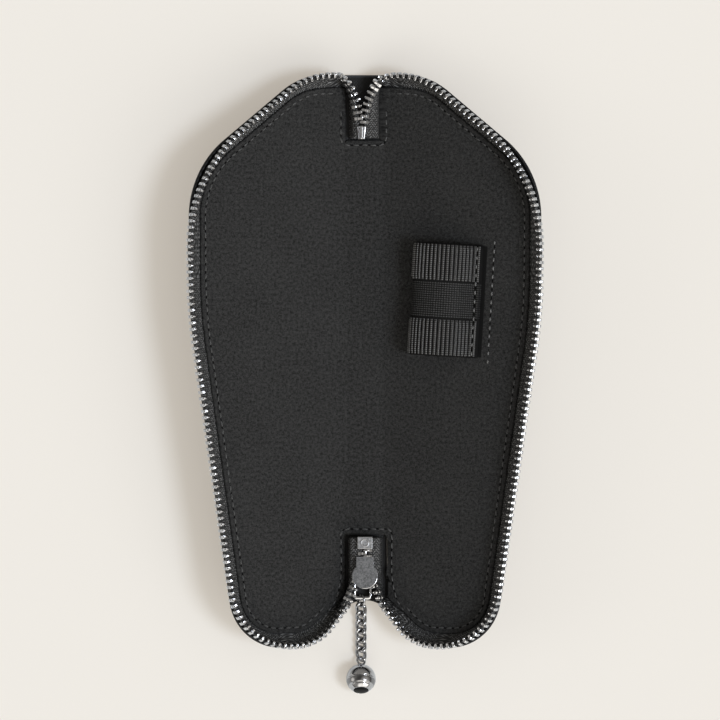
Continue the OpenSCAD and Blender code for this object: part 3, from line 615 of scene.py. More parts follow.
def wire_tree():
    """Geometry nodes that bend a wire to an oblong link."""
    def build(net, given):
        oblong = net.add("GeometryNodeCurvePrimitiveQuadrilateral",
                         {"Width": given["Length"], "Height": given["Width"]}, mode="RECTANGLE")
        bow = net.math("MULTIPLY", given["Width"], 0.499)
        rounded = net.add("GeometryNodeFilletCurve", {"Curve": oblong.outputs[0], "Radius": bow,
                                                      "Count": 12}, mode="POLY")
        return wire_along(net, given, rounded.outputs[0], 14)

    return tree_of("Oblong wire link", LINK_INPUTS, "Link", build)


def curb_tree():
    """Geometry nodes that bend a wire to a twisted link: its ends lie level, and each side
    rises over one neighbour and dips under the other."""
    def build(net, given):
        loop = net.add("GeometryNodeCurvePrimitiveCircle", {"Resolution": 48, "Radius": 1.0},
                       mode="RADIUS")
        spot = net.add("GeometryNodeInputPosition").outputs[0]
        x, y, _ = net.add("ShaderNodeSeparateXYZ", {"Vector": spot}).outputs
        half_length = net.math("MULTIPLY", given["Length"], 0.5)
        half_width = net.math("MULTIPLY", given["Width"], 0.5)
        rise = net.math("MULTIPLY", net.math("MULTIPLY", x, y),
                        net.math("MULTIPLY", given["Twist"], 2.0))
        along = net.math("ADD", net.math("MULTIPLY", x, half_length),
                         net.math("MULTIPLY", y, given["Slant"]))
        across = net.math("MULTIPLY", y, half_width)
        bent = net.add("ShaderNodeCombineXYZ", {"X": along, "Y": across, "Z": rise}).outputs[0]
        curve = net.add("GeometryNodeSetPosition", {"Geometry": loop.outputs[0],
                                                    "Position": bent})
        return wire_along(net, given, curve.outputs[0], 18)

    return tree_of("Twisted wire link", LINK_INPUTS + [
        ("Twist", "Float", 0.0005), ("Slant", "Float", 0.0)], "Link", build)


def run_tree(obj, tree, values):
    """Runs a geometry node tree on a piece and keeps the result as its plain mesh."""
    mod = obj.modifiers.new(tree.name, "NODES")
    mod.node_group = tree
    for item in tree.interface.items_tree:
        if item.in_out == "INPUT" and item.name in values:
            mod[item.identifier] = values[item.name]
    graph = bpy.context.evaluated_depsgraph_get()
    mesh = bpy.data.meshes.new_from_object(obj.evaluated_get(graph), depsgraph=graph)
    obj.modifiers.clear()
    old, obj.data = obj.data, mesh
    bpy.data.meshes.remove(old)
    mesh.name = obj.name
    if "head" in mesh.attributes:
        mesh.attributes.remove(mesh.attributes["head"])
    if not mesh.polygons:
        raise RuntimeError(f"{obj.name} came out empty")
    return obj


def row_of(name, path, heads, piece, count, finish, wobble=0.0, seed=7):
    """Copies of a piece, evenly along a path in millimetres, with their own z towards heads."""
    mesh = bpy.data.meshes.new(name)
    mesh.from_pydata([p * MM for p in path], [(i, i + 1) for i in range(len(path) - 1)], [])
    head = mesh.attributes.new("head", "FLOAT_VECTOR", "POINT")
    last = len(path) - 1
    for i, h in enumerate(heads):
        way = (path[min(i + 1, last)] - path[max(i - 1, 0)]).normalized()
        head.data[i].vector = (h - way * h.dot(way)).normalized()
    obj = bpy.data.objects.new(name, mesh)
    bpy.context.scene.collection.objects.link(obj)
    return run_tree(obj, row_tree(), {"Piece": piece, "Count": count, "Wobble": wobble,
                                      "Seed": seed, "Finish": finish})


def path_length(path):
    """Length of a path of points."""
    return sum((b - a).length for a, b in zip(path, path[1:]))


def cut_path(path, heads, start, end):
    """The stretch of a path from start to its length less end, with its heads."""
    total = path_length(path)
    out, out_heads, run = [], [], 0.0
    for i in range(len(path) - 1):
        a, b = path[i], path[i + 1]
        step = (b - a).length
        for s in ([start] if run <= start < run + step else []):
            out.append(a.lerp(b, (s - run) / step))
            out_heads.append(heads[i].lerp(heads[i + 1], (s - run) / step))
        run += step
        if start < run < total - end - TINY:
            out.append(b)
            out_heads.append(heads[i + 1])
        elif run >= total - end - TINY:
            f = 1 - (run - (total - end)) / step
            out.append(a.lerp(b, f))
            out_heads.append(heads[i].lerp(heads[i + 1], f))
            break
    return out, out_heads


# ---- finishes ----

def finish(name, base, rough, **sockets):
    """A new material with its shader's plain values, its net and its shader."""
    mat = bpy.data.materials.new(name)
    mat.use_nodes = True
    net = Net(mat.node_tree)
    shader = mat.node_tree.nodes["Principled BSDF"]
    shader.inputs["Base Color"].default_value = (*base, 1)
    shader.inputs["Roughness"].default_value = rough
    for key, value in sockets.items():
        shader.inputs[key.replace("_", " ")].default_value = value
    mat.diffuse_color = (*base, 1)
    return mat, net, shader


def sheet_place(net):
    """Coordinates on the cut sheet, in millimetres."""
    return net.add("ShaderNodeUVMap", uv_map="Cut sheet").outputs["UV"]


def object_place(net):
    """Coordinates on the piece itself, in millimetres."""
    where = net.add("ShaderNodeTexCoord").outputs["Object"]
    return net.add("ShaderNodeMapping", {"Vector": where, "Scale": (1 / MM,) * 3}).outputs[0]


def speckle(net, where, scale, detail=2.0, rough=0.6):
    """Even noise from 0 to 1."""
    return net.add("ShaderNodeTexNoise", {"Vector": where, "Scale": scale, "Detail": detail,
                                          "Roughness": rough}).outputs["Fac"]


def graded(net, value, stops):
    """A colour that goes through all stops, each given as its place and its colour."""
    node = net.add("ShaderNodeValToRGB", {"Fac": value})
    elements = node.color_ramp.elements
    for spot, _ in stops[1:-1]:
        elements.new(spot)
    for element, (spot, rgb) in zip(elements, stops):
        element.position = spot
        element.color = (*rgb, 1)
    return node.outputs["Color"]


def tone(rgb, by):
    """A colour, made darker or lighter."""
    return tuple(min(1.0, c * by) for c in rgb)


def mottle(net, shader, value, rgb, low, high, start=0.3, end=0.7):
    """Lets the shader's colour go from low to high times rgb, by value from start to end."""
    net.tree.links.new(graded(net, value, [(start, tone(rgb, low)), (end, tone(rgb, high))]),
                       shader.inputs["Base Color"])


def levels(net, value, low, high, start=0.0, end=1.0):
    """A value between low and high, as the given one goes from start to end."""
    return net.add("ShaderNodeMapRange", {"Value": value, "From Min": start, "From Max": end,
                                          "To Min": low, "To Max": high}).outputs[0]


def bump(net, shader, *layers):
    """Bumps on a shader: each layer gives a height, its strength and its depth in millimetres."""
    before = None
    for height, strength, depth in layers:
        sockets = {"Height": height, "Strength": strength, "Distance": depth * MM}
        if before:
            sockets["Normal"] = before
        before = net.add("ShaderNodeBump", sockets).outputs["Normal"]
    net.tree.links.new(before, shader.inputs["Normal"])


def wave(net, where, pitch, direction, distortion=0.0, profile="SIN"):
    """Bands that repeat once per pitch in millimetres."""
    return net.add("ShaderNodeTexWave", {"Vector": where, "Scale": math.pi / (10.0 * pitch),
                                         "Distortion": distortion, "Detail": 1.0,
                                         "Detail Scale": 1.5},
                   wave_type="BANDS", bands_direction=direction,
                   wave_profile=profile).outputs["Fac"]


def leather_finish():
    """Black leather with a fine pressed cross grain."""
    rgb = of("looks").leather
    mat, net, shader = finish("Grained black leather", rgb, 0.42, Specular_IOR_Level=0.3)
    where = sheet_place(net)
    slant = net.add("ShaderNodeMapping", {"Vector": where, "Rotation": (0, 0, math.radians(38))})
    first = wave(net, slant.outputs[0], 0.62, "X", 0.8)
    second = wave(net, slant.outputs[0], 0.8, "Y", 1.2)
    cross = net.math("MAXIMUM", first, net.math("MULTIPLY", second, 0.8))
    pores = speckle(net, where, 3.2, 3.0)
    clouds = speckle(net, where, 0.05, 3.0)
    mottle(net, shader, clouds, rgb, 0.75, 1.35)
    net.tree.links.new(levels(net, cross, 0.56, 0.38), shader.inputs["Roughness"])
    grain = of("looks").grain
    bump(net, shader, (cross, grain, 0.14), (pores, 0.35, 0.08), (clouds, 0.2, 0.3))
    return mat


def lining_finish():
    """Matt black lining: a soft nap with fine pale and dark flecks."""
    rgb = of("looks").lining
    mat, net, shader = finish("Matt black lining", rgb, 0.9, Specular_IOR_Level=0.2)
    where = sheet_place(net)
    grain = speckle(net, where, 1.15, 4.0, 0.75)
    fine = speckle(net, where, 2.6, 3.0, 0.7)
    clouds = speckle(net, where, 0.06, 2.0)
    mixed = net.math("ADD", net.math("MULTIPLY", grain, 0.6), net.math("MULTIPLY", fine, 0.4))
    flecks = net.math("ADD", mixed, levels(net, clouds, -0.012, 0.012, 0.3, 0.7))
    mottle(net, shader, flecks, rgb, 0.25, 2.0, 0.39, 0.61)
    bump(net, shader, (grain, 0.5, 0.25), (fine, 0.5, 0.12))
    return mat


def tape_finish():
    """Black zip tape in a fine herringbone weave."""
    rgb = of("looks").tape
    mat, net, shader = finish("Woven zip tape", rgb, 0.7, Specular_IOR_Level=0.4)
    where = sheet_place(net)
    slant = [net.add("ShaderNodeMapping", {"Vector": where, "Rotation": (0, 0, math.radians(a))})
             for a in (38, -38)]
    twill = [wave(net, s.outputs[0], 0.62, "X", 0.6) for s in slant]
    stripe = wave(net, where, 2.2, "X", profile="SAW")
    pick = net.math("GREATER_THAN", stripe, 0.5)
    weave = net.add("ShaderNodeMix", {"Factor": pick, "A": twill[0], "B": twill[1]}).outputs[0]
    ends = wave(net, where, 0.62, "Y", 0.6)
    fluff = levels(net, speckle(net, where, 1.25, 2.0), 0.2, 1.7, 0.38, 0.62)
    threads = net.math("MULTIPLY", net.math("MULTIPLY", weave, levels(net, ends, 0.3, 1.0)), fluff)
    mottle(net, shader, threads, rgb, 0.25, 5.0, 0.1, 1.0)
    bump(net, shader, (threads, 0.8, 0.2))
    return mat


def elastic_finish(name, by, pitch, shine, half_band=None):
    """Black elastic: fine threads across the weave. Outside half_band the colour drops to
    near-black painted shade, for the ground between the ribs."""
    rgb = tone(of("looks").elastic, by)
    mat, net, shader = finish(name, rgb, 0.55, Specular_IOR_Level=shine)
    where = sheet_place(net)
    over = wave(net, where, pitch, "Y", 0.5)
    under = wave(net, where, pitch * 1.15, "X", 0.5)
    fluff = speckle(net, where, 2.2, 3.0)
    threads = net.math("MULTIPLY", levels(net, over, 0.12, 1.0), levels(net, under, 0.3, 1.0))
    threads = net.math("MULTIPLY", threads, levels(net, fluff, 0.6, 1.3, 0.35, 0.65))
    threads_with_painted_shade = threads
    # Painted shade: outside the band the threads are masked to nothing, so the colour goes nearly
    # black.
    if half_band:
        along = net.add("ShaderNodeSeparateXYZ", {"Vector": where}).outputs["Y"]
        inside = net.math("LESS_THAN", net.math("ABSOLUTE", along), half_band)
        threads_with_painted_shade = net.math("MULTIPLY", threads, inside)
    mottle(net, shader, threads_with_painted_shade, rgb, 0.06, 2.2, 0.12, 0.9)
    bump(net, shader, (threads, 0.8, 0.2), (fluff, 0.3, 0.08))
    return mat


def thread_finish(name, rgb):
    """Waxed sewing thread, twisted."""
    mat, net, shader = finish(name, rgb, 0.45, Specular_IOR_Level=0.5)
    where = object_place(net)
    slant = net.add("ShaderNodeMapping", {"Vector": where, "Rotation": (0, 0.4, math.radians(35))})
    twist = wave(net, slant.outputs[0], 0.3, "X")
    mottle(net, shader, twist, rgb, 0.5, 2.0)
    bump(net, shader, (twist, 0.5, 0.08))
    return mat


def metal_finish(name, rgb, rough, wear=0.05, grain=0.0):
    """Nickel plate with faint rubbing marks, polished, or blasted satin where grain is given."""
    mat, net, shader = finish(name, rgb, rough, Metallic=1.0)
    where = object_place(net)
    marks = speckle(net, where, 1.4, 4.0, 0.7)
    net.tree.links.new(levels(net, marks, max(rough - wear, 0.02), rough + wear, 0.3, 0.7),
                       shader.inputs["Roughness"])
    sand = speckle(net, where, 1.9, 3.0, 0.75) if grain else speckle(net, where, 0.5, 2.0)
    low, high = (0.6, 1.4) if grain else (0.9, 1.06)
    mottle(net, shader, sand, rgb, low, high, 0.36, 0.64)
    if grain:
        bump(net, shader, (speckle(net, where, 2.8, 3.0, 0.7), grain, 0.12))
    return mat


def board_finish():
    """Grey board, flecked with fibres."""
    mat, net, shader = finish("Grey board", (0.25, 0.24, 0.22), 0.9)
    fibres = speckle(net, object_place(net), 1.5, 4.0, 0.7)
    stops = [(0.3, (0.18, 0.17, 0.155)), (0.7, (0.33, 0.32, 0.295))]
    net.tree.links.new(graded(net, fibres, stops), shader.inputs["Base Color"])
    bump(net, shader, (fibres, 0.3, 0.05))
    return mat


def finishes():
    """All finishes, made once."""
    if "finishes" not in TOLD:
        looks = of("looks")
        TOLD["finishes"] = {
            "leather": leather_finish(), "lining": lining_finish(), "tape": tape_finish(),
            "ribs": elastic_finish("Ribbed elastic", 2.4, 0.6, 0.5),
            "band": elastic_finish("Plain elastic band", 0.8, 0.66, 0.15, mm("loop", "band") / 2),
            "thread": thread_finish("Waxed black thread", looks.thread), "board": board_finish(),
            "teeth": metal_finish("Polished nickel teeth", looks.nickel, 0.11, 0.04),
            "nickel": metal_finish("Polished nickel", tone(looks.nickel, 1.2), 0.12, 0.04),
            "ball": metal_finish("Mirror-polished nickel", tone(looks.nickel, 0.85), 0.07, 0.02),
            "chain": metal_finish("Nickel chain", tone(looks.nickel, 0.8), 0.11, 0.04),
            "dark": metal_finish("Dark polished band", tone(looks.nickel, 0.45), 0.12, 0.03),
            "clip": metal_finish("Brushed nickel clip", tone(looks.nickel, 0.95), 0.3, 0.05),
            "satin": metal_finish("Satin nickel", looks.satin, 0.46, 0.06, 0.12),
            "cast": metal_finish("Blasted dark nickel", looks.cast, 0.46, 0.06, 0.4),
            "bright_thread": thread_finish("Grey sewing thread", looks.loop_thread),
            # Painted shade: near-black, for the slit in the lining and the ground between the
            # loop's ribs.
            "shade": finish("Shade in the slit", (0.008, 0.008, 0.008), 0.9,
                            Specular_IOR_Level=0.1)[0],
            # Painted shade: near-black ovals for the hollows of the needle holes.
            "hole": finish("Needle hole", (0.005, 0.005, 0.005), 0.9, Specular_IOR_Level=0.0)[0],
            "edge": finish("Burnished leather edge", (0.028, 0.031, 0.038), 0.45)[0],
            "inset": finish("Black gloss inset", (0.001, 0.001, 0.001), 0.4,
                            Specular_IOR_Level=0.1)[0],
        }
    return TOLD["finishes"]


# ---- leather and lining ----

def sheet_layers(half, side, first, low_h, high_h, reach, edge_u=None):
    """The net of a half's sheet and its piece of the spine, with the points of its two faces
    and their places on the cut sheet. The sheet starts on the curl at the angle first. reach
    gives for each u of the spine how far the sheet goes towards foot and head, and whether it
    goes on beyond them beside the spine; edge_u gives how far its edge beside the spine is
    shifted at each v."""
    stations, inner, across, crowding = 11, 9, 7, 1.15
    angles = [first * (1 - k / (stations - 1)) ** crowding for k in range(stations)]
    columns = stations + inner
    uvw, flat = [], []
    for i in range(half.last + 1):
        fold = (0.0, half.fold_v(i))
        for k, a in enumerate(angles):
            uvw.append((half.curl(i, a, low_h), half.curl(i, a, high_h)))
            flat.append(half.cloth(i, a))
        low, high = uvw[-1]
        for k in range(1, inner + 1):
            t = k / inner
            p = (low[0] * (1 - t) + fold[0] * t, low[1] * (1 - t) + fold[1] * t)
            uvw.append(((*p, low_h - stack()), (*p, high_h - stack())))
            flat.append((p[0], p[1]))
    quads = grid_quads(half.last + 1, columns)
    last_row = half.last * columns
    border = list(range(columns)) + [i * columns + columns - 1 for i in range(1, half.last)]
    border += [last_row + k for k in reversed(range(columns))]
    near_fold = 0.6
    for q in border if edge_u else ():
        low, high = uvw[q]
        if max(low[0], high[0]) <= near_fold:
            shift = edge_u(low[1])
            uvw[q] = ((low[0] + shift, low[1], low[2]), (high[0] + shift, high[1], high[2]))
    half_spine = mm("case", "spine_width") / 2
    foot, head, goes_on = reach(0)
    rows = [q for q in border if goes_on or foot - TINY <= uvw[q][0][1] <= head + TINY]
    lowest, highest = uvw[rows[0]][0][1], uvw[rows[-1]][0][1]
    strip = []
    for q in rows:
        line = [q]
        for c in range(1, across + 1):
            u = -half_spine * c / across
            foot, head, _ = reach(u)
            f = (uvw[q][0][1] - lowest) / (highest - lowest)
            v = foot + (head - foot) * f
            line.append(len(uvw))
            uvw.append(((u, v, low_h - stack()), (u, v, high_h - stack())))
            flat.append((u, v))
        strip.append(line)
    for a, b in zip(strip, strip[1:]):
        for c in range(across):
            quads.append((a[c], b[c], b[c + 1], a[c + 1]))
    low = [place(side, *p[0]) for p in uvw]
    high = [place(side, *p[1]) for p in uvw]
    if side < 0:
        flat = [(-2 * half_spine - u, v) for u, v in flat]
        quads = [tuple(reversed(quad)) for quad in quads]
    return quads, low, high, flat


# Where a sheet starts on the curl of the edge, in degrees up from the flat leather.
LEATHER_START = 90
LINING_START = 34
# How near to the middle of the spine a point counts as on the seam, in millimetres.
SEAM = 1e-4


def ripple(points, depth, scale, seed):
    """Moves points a little up and down, as soft leather lies."""
    for p in points:
        p.z += depth * noise.noise(Vector((p.x * scale, p.y * scale, seed)))


def on_seam(p):
    """Whether a point lies on the seam along the middle of the spine."""
    return abs(p[0]) < SEAM


class CASE_OT_leather(bpy.types.Operator):
    """Outer leather, in two pieces that meet along the middle of the spine"""
    bl_idname = "pen_case.leather"
    bl_label = "Outer leather"

    def execute(self, context):
        half = Half()
        head = mm("case", "spine_head")
        for side, name in ((-1, "left"), (1, "right")):
            quads, low, high, flat = sheet_layers(
                half, side, LEATHER_START, 0.0, mm("case", "leather"),
                lambda u: (outer_arch(u), head, True))
            piece = thick_mesh(f"leather_{name}", quads, low, high, flat, 0.28, on_seam)
            nodes = [f"outer_{name}"] + (["outer_spine"] if side < 0 else [])
            dress(piece, finishes()["leather"], blend=f"{name}_half", replaces=nodes)
        # The cut edge at the head shows as a thin pale strip.
        reach, steps, sunk, radius = mm("case", "spine_width") / 2, 24, 0.1, 0.5
        height = mm("case", "leather") * 0.62
        path = [Vector((reach * (2 * k / steps - 1), head - sunk, height))
                for k in range(steps + 1)]
        edge = outward(mesh_object("leather_head_edge", *tube(path, radius, sides=12)))
        dress(edge, finishes()["edge"], body="spine")
        return {"FINISHED"}


def window_edges(side):
    """How far the right half's lining reaches over the fold line beside the head window, and
    how far it stops short of it beside the foot window."""
    head, foot = mm("case", "head_window"), -mm("case", "foot_window")
    over, short, corner = 2.0, 0.9, 0.8

    def edge_u(v):
        if side < 0:
            return 0.0
        return short * ease((foot - v) / corner) - over * ease((v - head) / corner)

    return edge_u


class CASE_OT_lining(bpy.types.Operator):
    """Lining, with a window for the zip at each end"""
    bl_idname = "pen_case.lining"
    bl_label = "Lining"

    def execute(self, context):
        half = Half()
        head, foot = mm("case", "head_window"), mm("case", "foot_window")
        lining_h = mm("case", "leather") + mm("case", "board")
        for side, name in ((-1, "left"), (1, "right")):
            quads, low, high, flat = sheet_layers(
                half, side, LINING_START, lining_h, stack(), lambda u: (-foot, head, False),
                window_edges(side))
            ripple(high, depth=0.12, scale=0.045, seed=3.0 + side)
            piece = thick_mesh(f"lining_{name}", quads, low, high, flat, 0.3, on_seam)
            nodes = [f"lining_{name}"] + (["lining_spine"] if side < 0 else [])
            dress(piece, finishes()["lining"], blend=f"{name}_half", replaces=nodes)
        return {"FINISHED"}


class CASE_OT_boards(bpy.types.Operator):
    """Finish of the stiffening boards between leather and lining"""
    bl_idname = "pen_case.boards"
    bl_label = "Stiffening boards"

    def execute(self, context):
        for name in ("board_spine", "board_left", "board_right"):
            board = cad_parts[name]
            for slot in board.material_slots:
                slot.material = finishes()["board"]
        return {"FINISHED"}


# ---- zip ----

# The lines of the rows at both ends, in millimetres: half the opening between the two rows, the
# place along the case and the height above the table.
HEAD_LINE = [(0, 66.79, 5.61), (0, 71.70, 5.61), (0.498, 75.31, 5.81), (1.5, 78.90, 6.30),
             (3.10, 82.20, 7.19), (4.70, 84.20, 8.18)]
FOOT_LINE = [(0, -53.46, 6.6), (0, -60.06, 6.6), (0, -61.69, 6.6), (0.348, -63.50, 6.6),
             (1.0, -65.1, 6.6), (2.5, -68.2, 6.6), (3.9, -71.5, 7.19), (5.3, -74.1, 7.99)]
# Height of the teeth above the lining of a half, and of their middle above the tape's edge.
ZIP_W = 6.0
TAPE_EDGE = 0.95


def spline(points, steps=6):
    """A smooth line through all points, with so many steps between two of them."""
    out = []
    n = len(points)
    for i in range(n - 1):
        a, b, c, d = (points[max(i - 1, 0)], points[i], points[i + 1], points[min(i + 2, n - 1)])
        for k in range(steps):
            t = k / steps
            out.append(0.5 * (2 * b + (c - a) * t + (2 * a - 5 * b + 4 * c - d) * t * t
                              + (3 * b - a - 3 * c + d) * t ** 3))
    return out + [points[-1]]


def zip_x(which):
    """Where the closed zip lies across the case, at its foot or head end."""
    return -mm("zip", f"{which}_shift")


def free_end(side, which, half):
    """One free end of the zip from its fitting to the lobe, with the way its teeth point."""
    shift = zip_x(which)
    points, lobe = ((HEAD_LINE, half.teeth[-1][0]) if which == "head"
                    else (FOOT_LINE, half.teeth[0][0]))
    line = [Vector((shift + side * x, y, z)) for x, y, z in points]
    end = place(side, lobe[0], lobe[1], ZIP_W)
    path = spline(line + [end])
    first = mm("case", "spine_width") * 0.14
    # One row of each end turns its teeth up early, the other keeps them nearly level up to the
    # lobe: by so many degrees, and the early one over this stretch of its length.
    raised = (side > 0) != (which == "head")
    early, late, raise_from, raise_over = 42, 12, 0.25, 0.3
    heads = []
    for i, p in enumerate(path):
        f = ease((side * (p.x - shift) - first) / (side * (end.x - shift) - first))
        share = i / len(path)
        level = 90 - (early * ease((share - raise_from) / raise_over) if raised else late * f)
        f = f if raised else f ** 3
        a = math.radians(level) * (1 - f) + of("case").open_tilt * f
        heads.append(Vector((-side * math.sin(a), 0, math.cos(a))))
    return path, heads


def zip_path(side, half):
    """The whole row of teeth of one tape, from the slider round the half to the end clip."""
    foot, foot_heads = free_end(side, "foot", half)
    head, head_heads = free_end(side, "head", half)
    middle = [place(side, p[0], p[1], ZIP_W) for p, _ in half.teeth][1:-1]
    up = tilt_dir(side, 0, 1)
    path = foot + middle + list(reversed(head))
    heads = foot_heads + [up] * len(middle) + list(reversed(head_heads))
    return path, heads


def tooth_piece():
    """One zip tooth: thickness along x, height across the tape along y, head towards z. Below
    the head stand broader shoulders on two legs, and the head has a dimple on top."""
    t, h = mm("zip", "thick") / 2, mm("zip", "across") / 2
    head = mm("zip", "head") / 2
    leg, reach = -mm("zip", "leg"), mm("zip", "reach")

    def ring(z, x, y, cut=0.4):
        c = min(x, y) * cut
        return [Vector((*p, z)) for p in (
            (x, c - y), (x, y - c), (x - c, y), (c - x, y),
            (-x, y - c), (-x, c - y), (c - x, -y), (x - c, -y))]

    # Eight-sided rings at their heights, from the shoulders over the neck to the dimple.
    rings = [ring(leg + 0.75, t * 0.9, h * 0.96), ring(leg + 0.95, t, h), ring(-0.86, t, h),
             ring(-0.7, t * 0.86, h * 0.92), ring(-0.66, head, h * 0.86),
             ring(0.22, head * 1.02, h * 0.86, 0.5), ring(reach - 0.14, head * 0.88, h * 0.76, 0.6),
             ring(reach, head * 0.62, h * 0.56, 0.6),
             ring(reach - 0.26, head * 0.3, h * 0.3, 0.6)]
    verts = [v for r in rings for v in r]
    faces = [tuple(reversed(range(8)))]
    for i in range(len(rings) - 1):
        faces += [(8 * i + q, 8 * i + (q + 1) % 8, 8 * i + 8 + (q + 1) % 8, 8 * i + 8 + q)
                  for q in range(8)]
    faces.append(tuple(range(8 * len(rings) - 8, 8 * len(rings))))
    parts = [(verts, faces)]
    x, half_gap, leg_height = t * 0.85, 0.3, 0.8
    for s in (-1, 1):
        y0, y1 = sorted((s * half_gap, s * h * 0.96))
        parts.append(prism([(-x, y0), (x, y0), (x, y1), (-x, y1)], leg, leg + leg_height))
    return mesh_object("tooth_pattern", *joined(*parts), smooth=False)


class CASE_OT_teeth(bpy.types.Operator):
    """The two rows of zip teeth"""
    bl_idname = "pen_case.teeth"
    bl_label = "Zip teeth"

    def execute(self, context):
        half = Half()
        tooth = tooth_piece()
        pitch = mm("zip", "pitch")
        in_box, in_clip = 0.9, 4.6
        for side, name in ((-1, "left"), (1, "right")):
            path, heads = zip_path(side, half)
            start = in_box + (pitch / 2 if side > 0 else 0)
            count = int((path_length(path) - start - in_clip) / pitch) + 1
            rest = path_length(path) - start - (count - 1) * pitch
            path, heads = cut_path(path, heads, start, rest)
            row = row_of(f"teeth_{name}", path, heads, tooth, count, finishes()["teeth"],
                         math.radians(1.6), 11 + side)
            nodes = [f"zip_teeth_{name}", f"zip_teeth_head_{name}", f"zip_teeth_foot_{name}"]
            dress(row, None, blend=f"{name}_half", replaces=nodes)
        bpy.data.objects.remove(tooth)
        return {"FINISHED"}


def even_points(points, count):
    """A line of points as count points, evenly spaced along it."""
    total = path_length(points)
    out, run, i = [], 0.0, 0
    for k in range(count):
        goal = total * k / (count - 1)
        while i < len(points) - 2 and run + (points[i + 1] - points[i]).length < goal:
            run += (points[i + 1] - points[i]).length
            i += 1
        step = (points[i + 1] - points[i]).length
        out.append(points[i].lerp(points[i + 1], min(1.0, (goal - run) / step if step else 0)))
    return out


class CASE_OT_tapes(bpy.types.Operator):
    """The two strips of zip tape"""
    bl_idname = "pen_case.tapes"
    bl_label = "Zip tapes"

    def execute(self, context):
        half = Half()
        mid_h = mm("case", "leather") + mm("case", "board") / 2
        columns = 9
        hang, drop, toe = 2.4, 0.3, 0.5
        for side, name in ((-1, "left"), (1, "right")):
            ends = {}
            # At its free ends the tape hangs from the teeth and bends out under the lining.
            for which, bend_x, knee_x, sway in (("foot", 4.4, 4.3, 1.6), ("head", 3.5, 4.05, -1.6)):
                path, heads = free_end(side, which, half)
                ends[which] = []
                for i, (p, a) in enumerate(zip(path, heads)):
                    out = max(hang, bend_x - side * p.x)
                    back = p.y + sway * i / (len(path) - 1)
                    rails = [p - a * TAPE_EDGE, p - a * out * 0.8,
                             p - a * out - Vector((0, 0, drop)),
                             Vector((side * knee_x, back, mid_h + drop)),
                             Vector((side * (knee_x + toe), back, mid_h))]
                    ends[which].append(even_points(rails, columns))
            # Along the edge it goes down from the teeth and in between leather and lining.
            middle = []
            for i in range(1, half.last):
                u, v = half.teeth[i][0]
                rails = [place(side, u, v, w) for w in (ZIP_W - TAPE_EDGE, 4.3, 3.2)]
                rails += [place(side, *half.curl(i, a, mid_h)) for a in (78, 62, 46, 30, 20)]
                middle.append(even_points(rails, columns))
            lines = ends["foot"][:-1] + middle + ends["head"][::-1][1:]
            low, high = thick_grid(lines, mm("case", "board") * 0.9)
            quads = grid_quads(len(lines), columns)
            run, flat = 0.0, []
            for i, line in enumerate(lines):
                run += (line[0] - lines[i - 1][0]).length if i else 0.0
                across = 0.0
                for k, p in enumerate(line):
                    across += (p - line[k - 1]).length if k else 0.0
                    flat.append((across, run))
            if side > 0:
                low, high = high, low
                quads = [tuple(reversed(q)) for q in quads]
            piece = outward(thick_mesh(f"tape_{name}", quads, low, high, flat, 0.4))
            nodes = [f"zip_tape_{name}", f"zip_tape_head_{name}", f"zip_tape_foot_{name}"]
            dress(piece, finishes()["tape"], blend=f"{name}_half", replaces=nodes)
        return {"FINISHED"}


class CASE_OT_fittings(bpy.types.Operator):
    """The fluted end clip and the retaining box"""
    bl_idname = "pen_case.fittings"
    bl_label = "End clip and retaining box"

    def execute(self, context):
        look = finishes()["clip"]
        clip = end_clip()
        dress(clip, look, body="spine", replaces=["zip_end_clip"])

        # The box; y is its edge towards the middle of the case.
        x, y, top = zip_x("foot"), -53.1, mm("zip", "height")
        width, length, half_height = 4.5, 3.6, 1.6
        block = prism([(x - width / 2, y - length), (x + width / 2, y - length),
                       (x + width / 2, y), (x - width / 2, y)],
                      top - half_height, top + half_height)
        box = outward(mesh_object("retaining_box", *block))
        bevelled(box, 0.16)
        dress(box, finishes()["satin"], body="spine", replaces=["zip_retaining_box"],
              edges=look)
        # A plain ring is stamped on its top.
        radius, wire = 1.1, 0.2
        path = [Vector((x + a, y - length / 2 + b, top + half_height))
                for a, b in circle(radius, 36)]
        ring = outward(mesh_object("retaining_box_ring", *tube(path, wire, True, 10)))
        dress(ring, look, body="spine")
        return {"FINISHED"}


def end_clip():
    """The clip at the head end: a domed shell round both tapes, with flutes along it."""
    x, top = zip_x("head"), HEAD_LINE[0][2]
    start, length, width, taper = 66.4, 3.9, 3.35, 1.2
    half_height, crown = 1.1, 0.3
    flutes, flute_depth, flute_width = (0.16, 0.3, 0.7), 0.5, 0.04
    side_drop, side_from = 0.55, 0.8
    along, across = 12, 48
    rows = []
    for j in range(along + 1):
        half = (width - taper * (1 - j / along)) / 2
        row = []
        for k in range(across + 1):
            s = k / across
            z = half_height + crown * (1 - (2 * s - 1) ** 2)
            z -= sum(flute_depth * math.exp(-((s - c) / flute_width) ** 2) for c in flutes)
            z -= side_drop * max(0.0, abs(2 * s - 1) - side_from) / (1 - side_from)
            row.append(Vector((x + half * (2 * s - 1), start + length * j / along, top + z)))
        rows.append(row)
    low = [Vector((p.x, p.y, 2 * top - p.z)) for row in rows for p in row]
    high = [p for row in rows for p in row]
    return outward(thick_mesh("end_clip", grid_quads(along + 1, across + 1), low, high,
                              [(p.x, p.y) for p in high], 0.03))


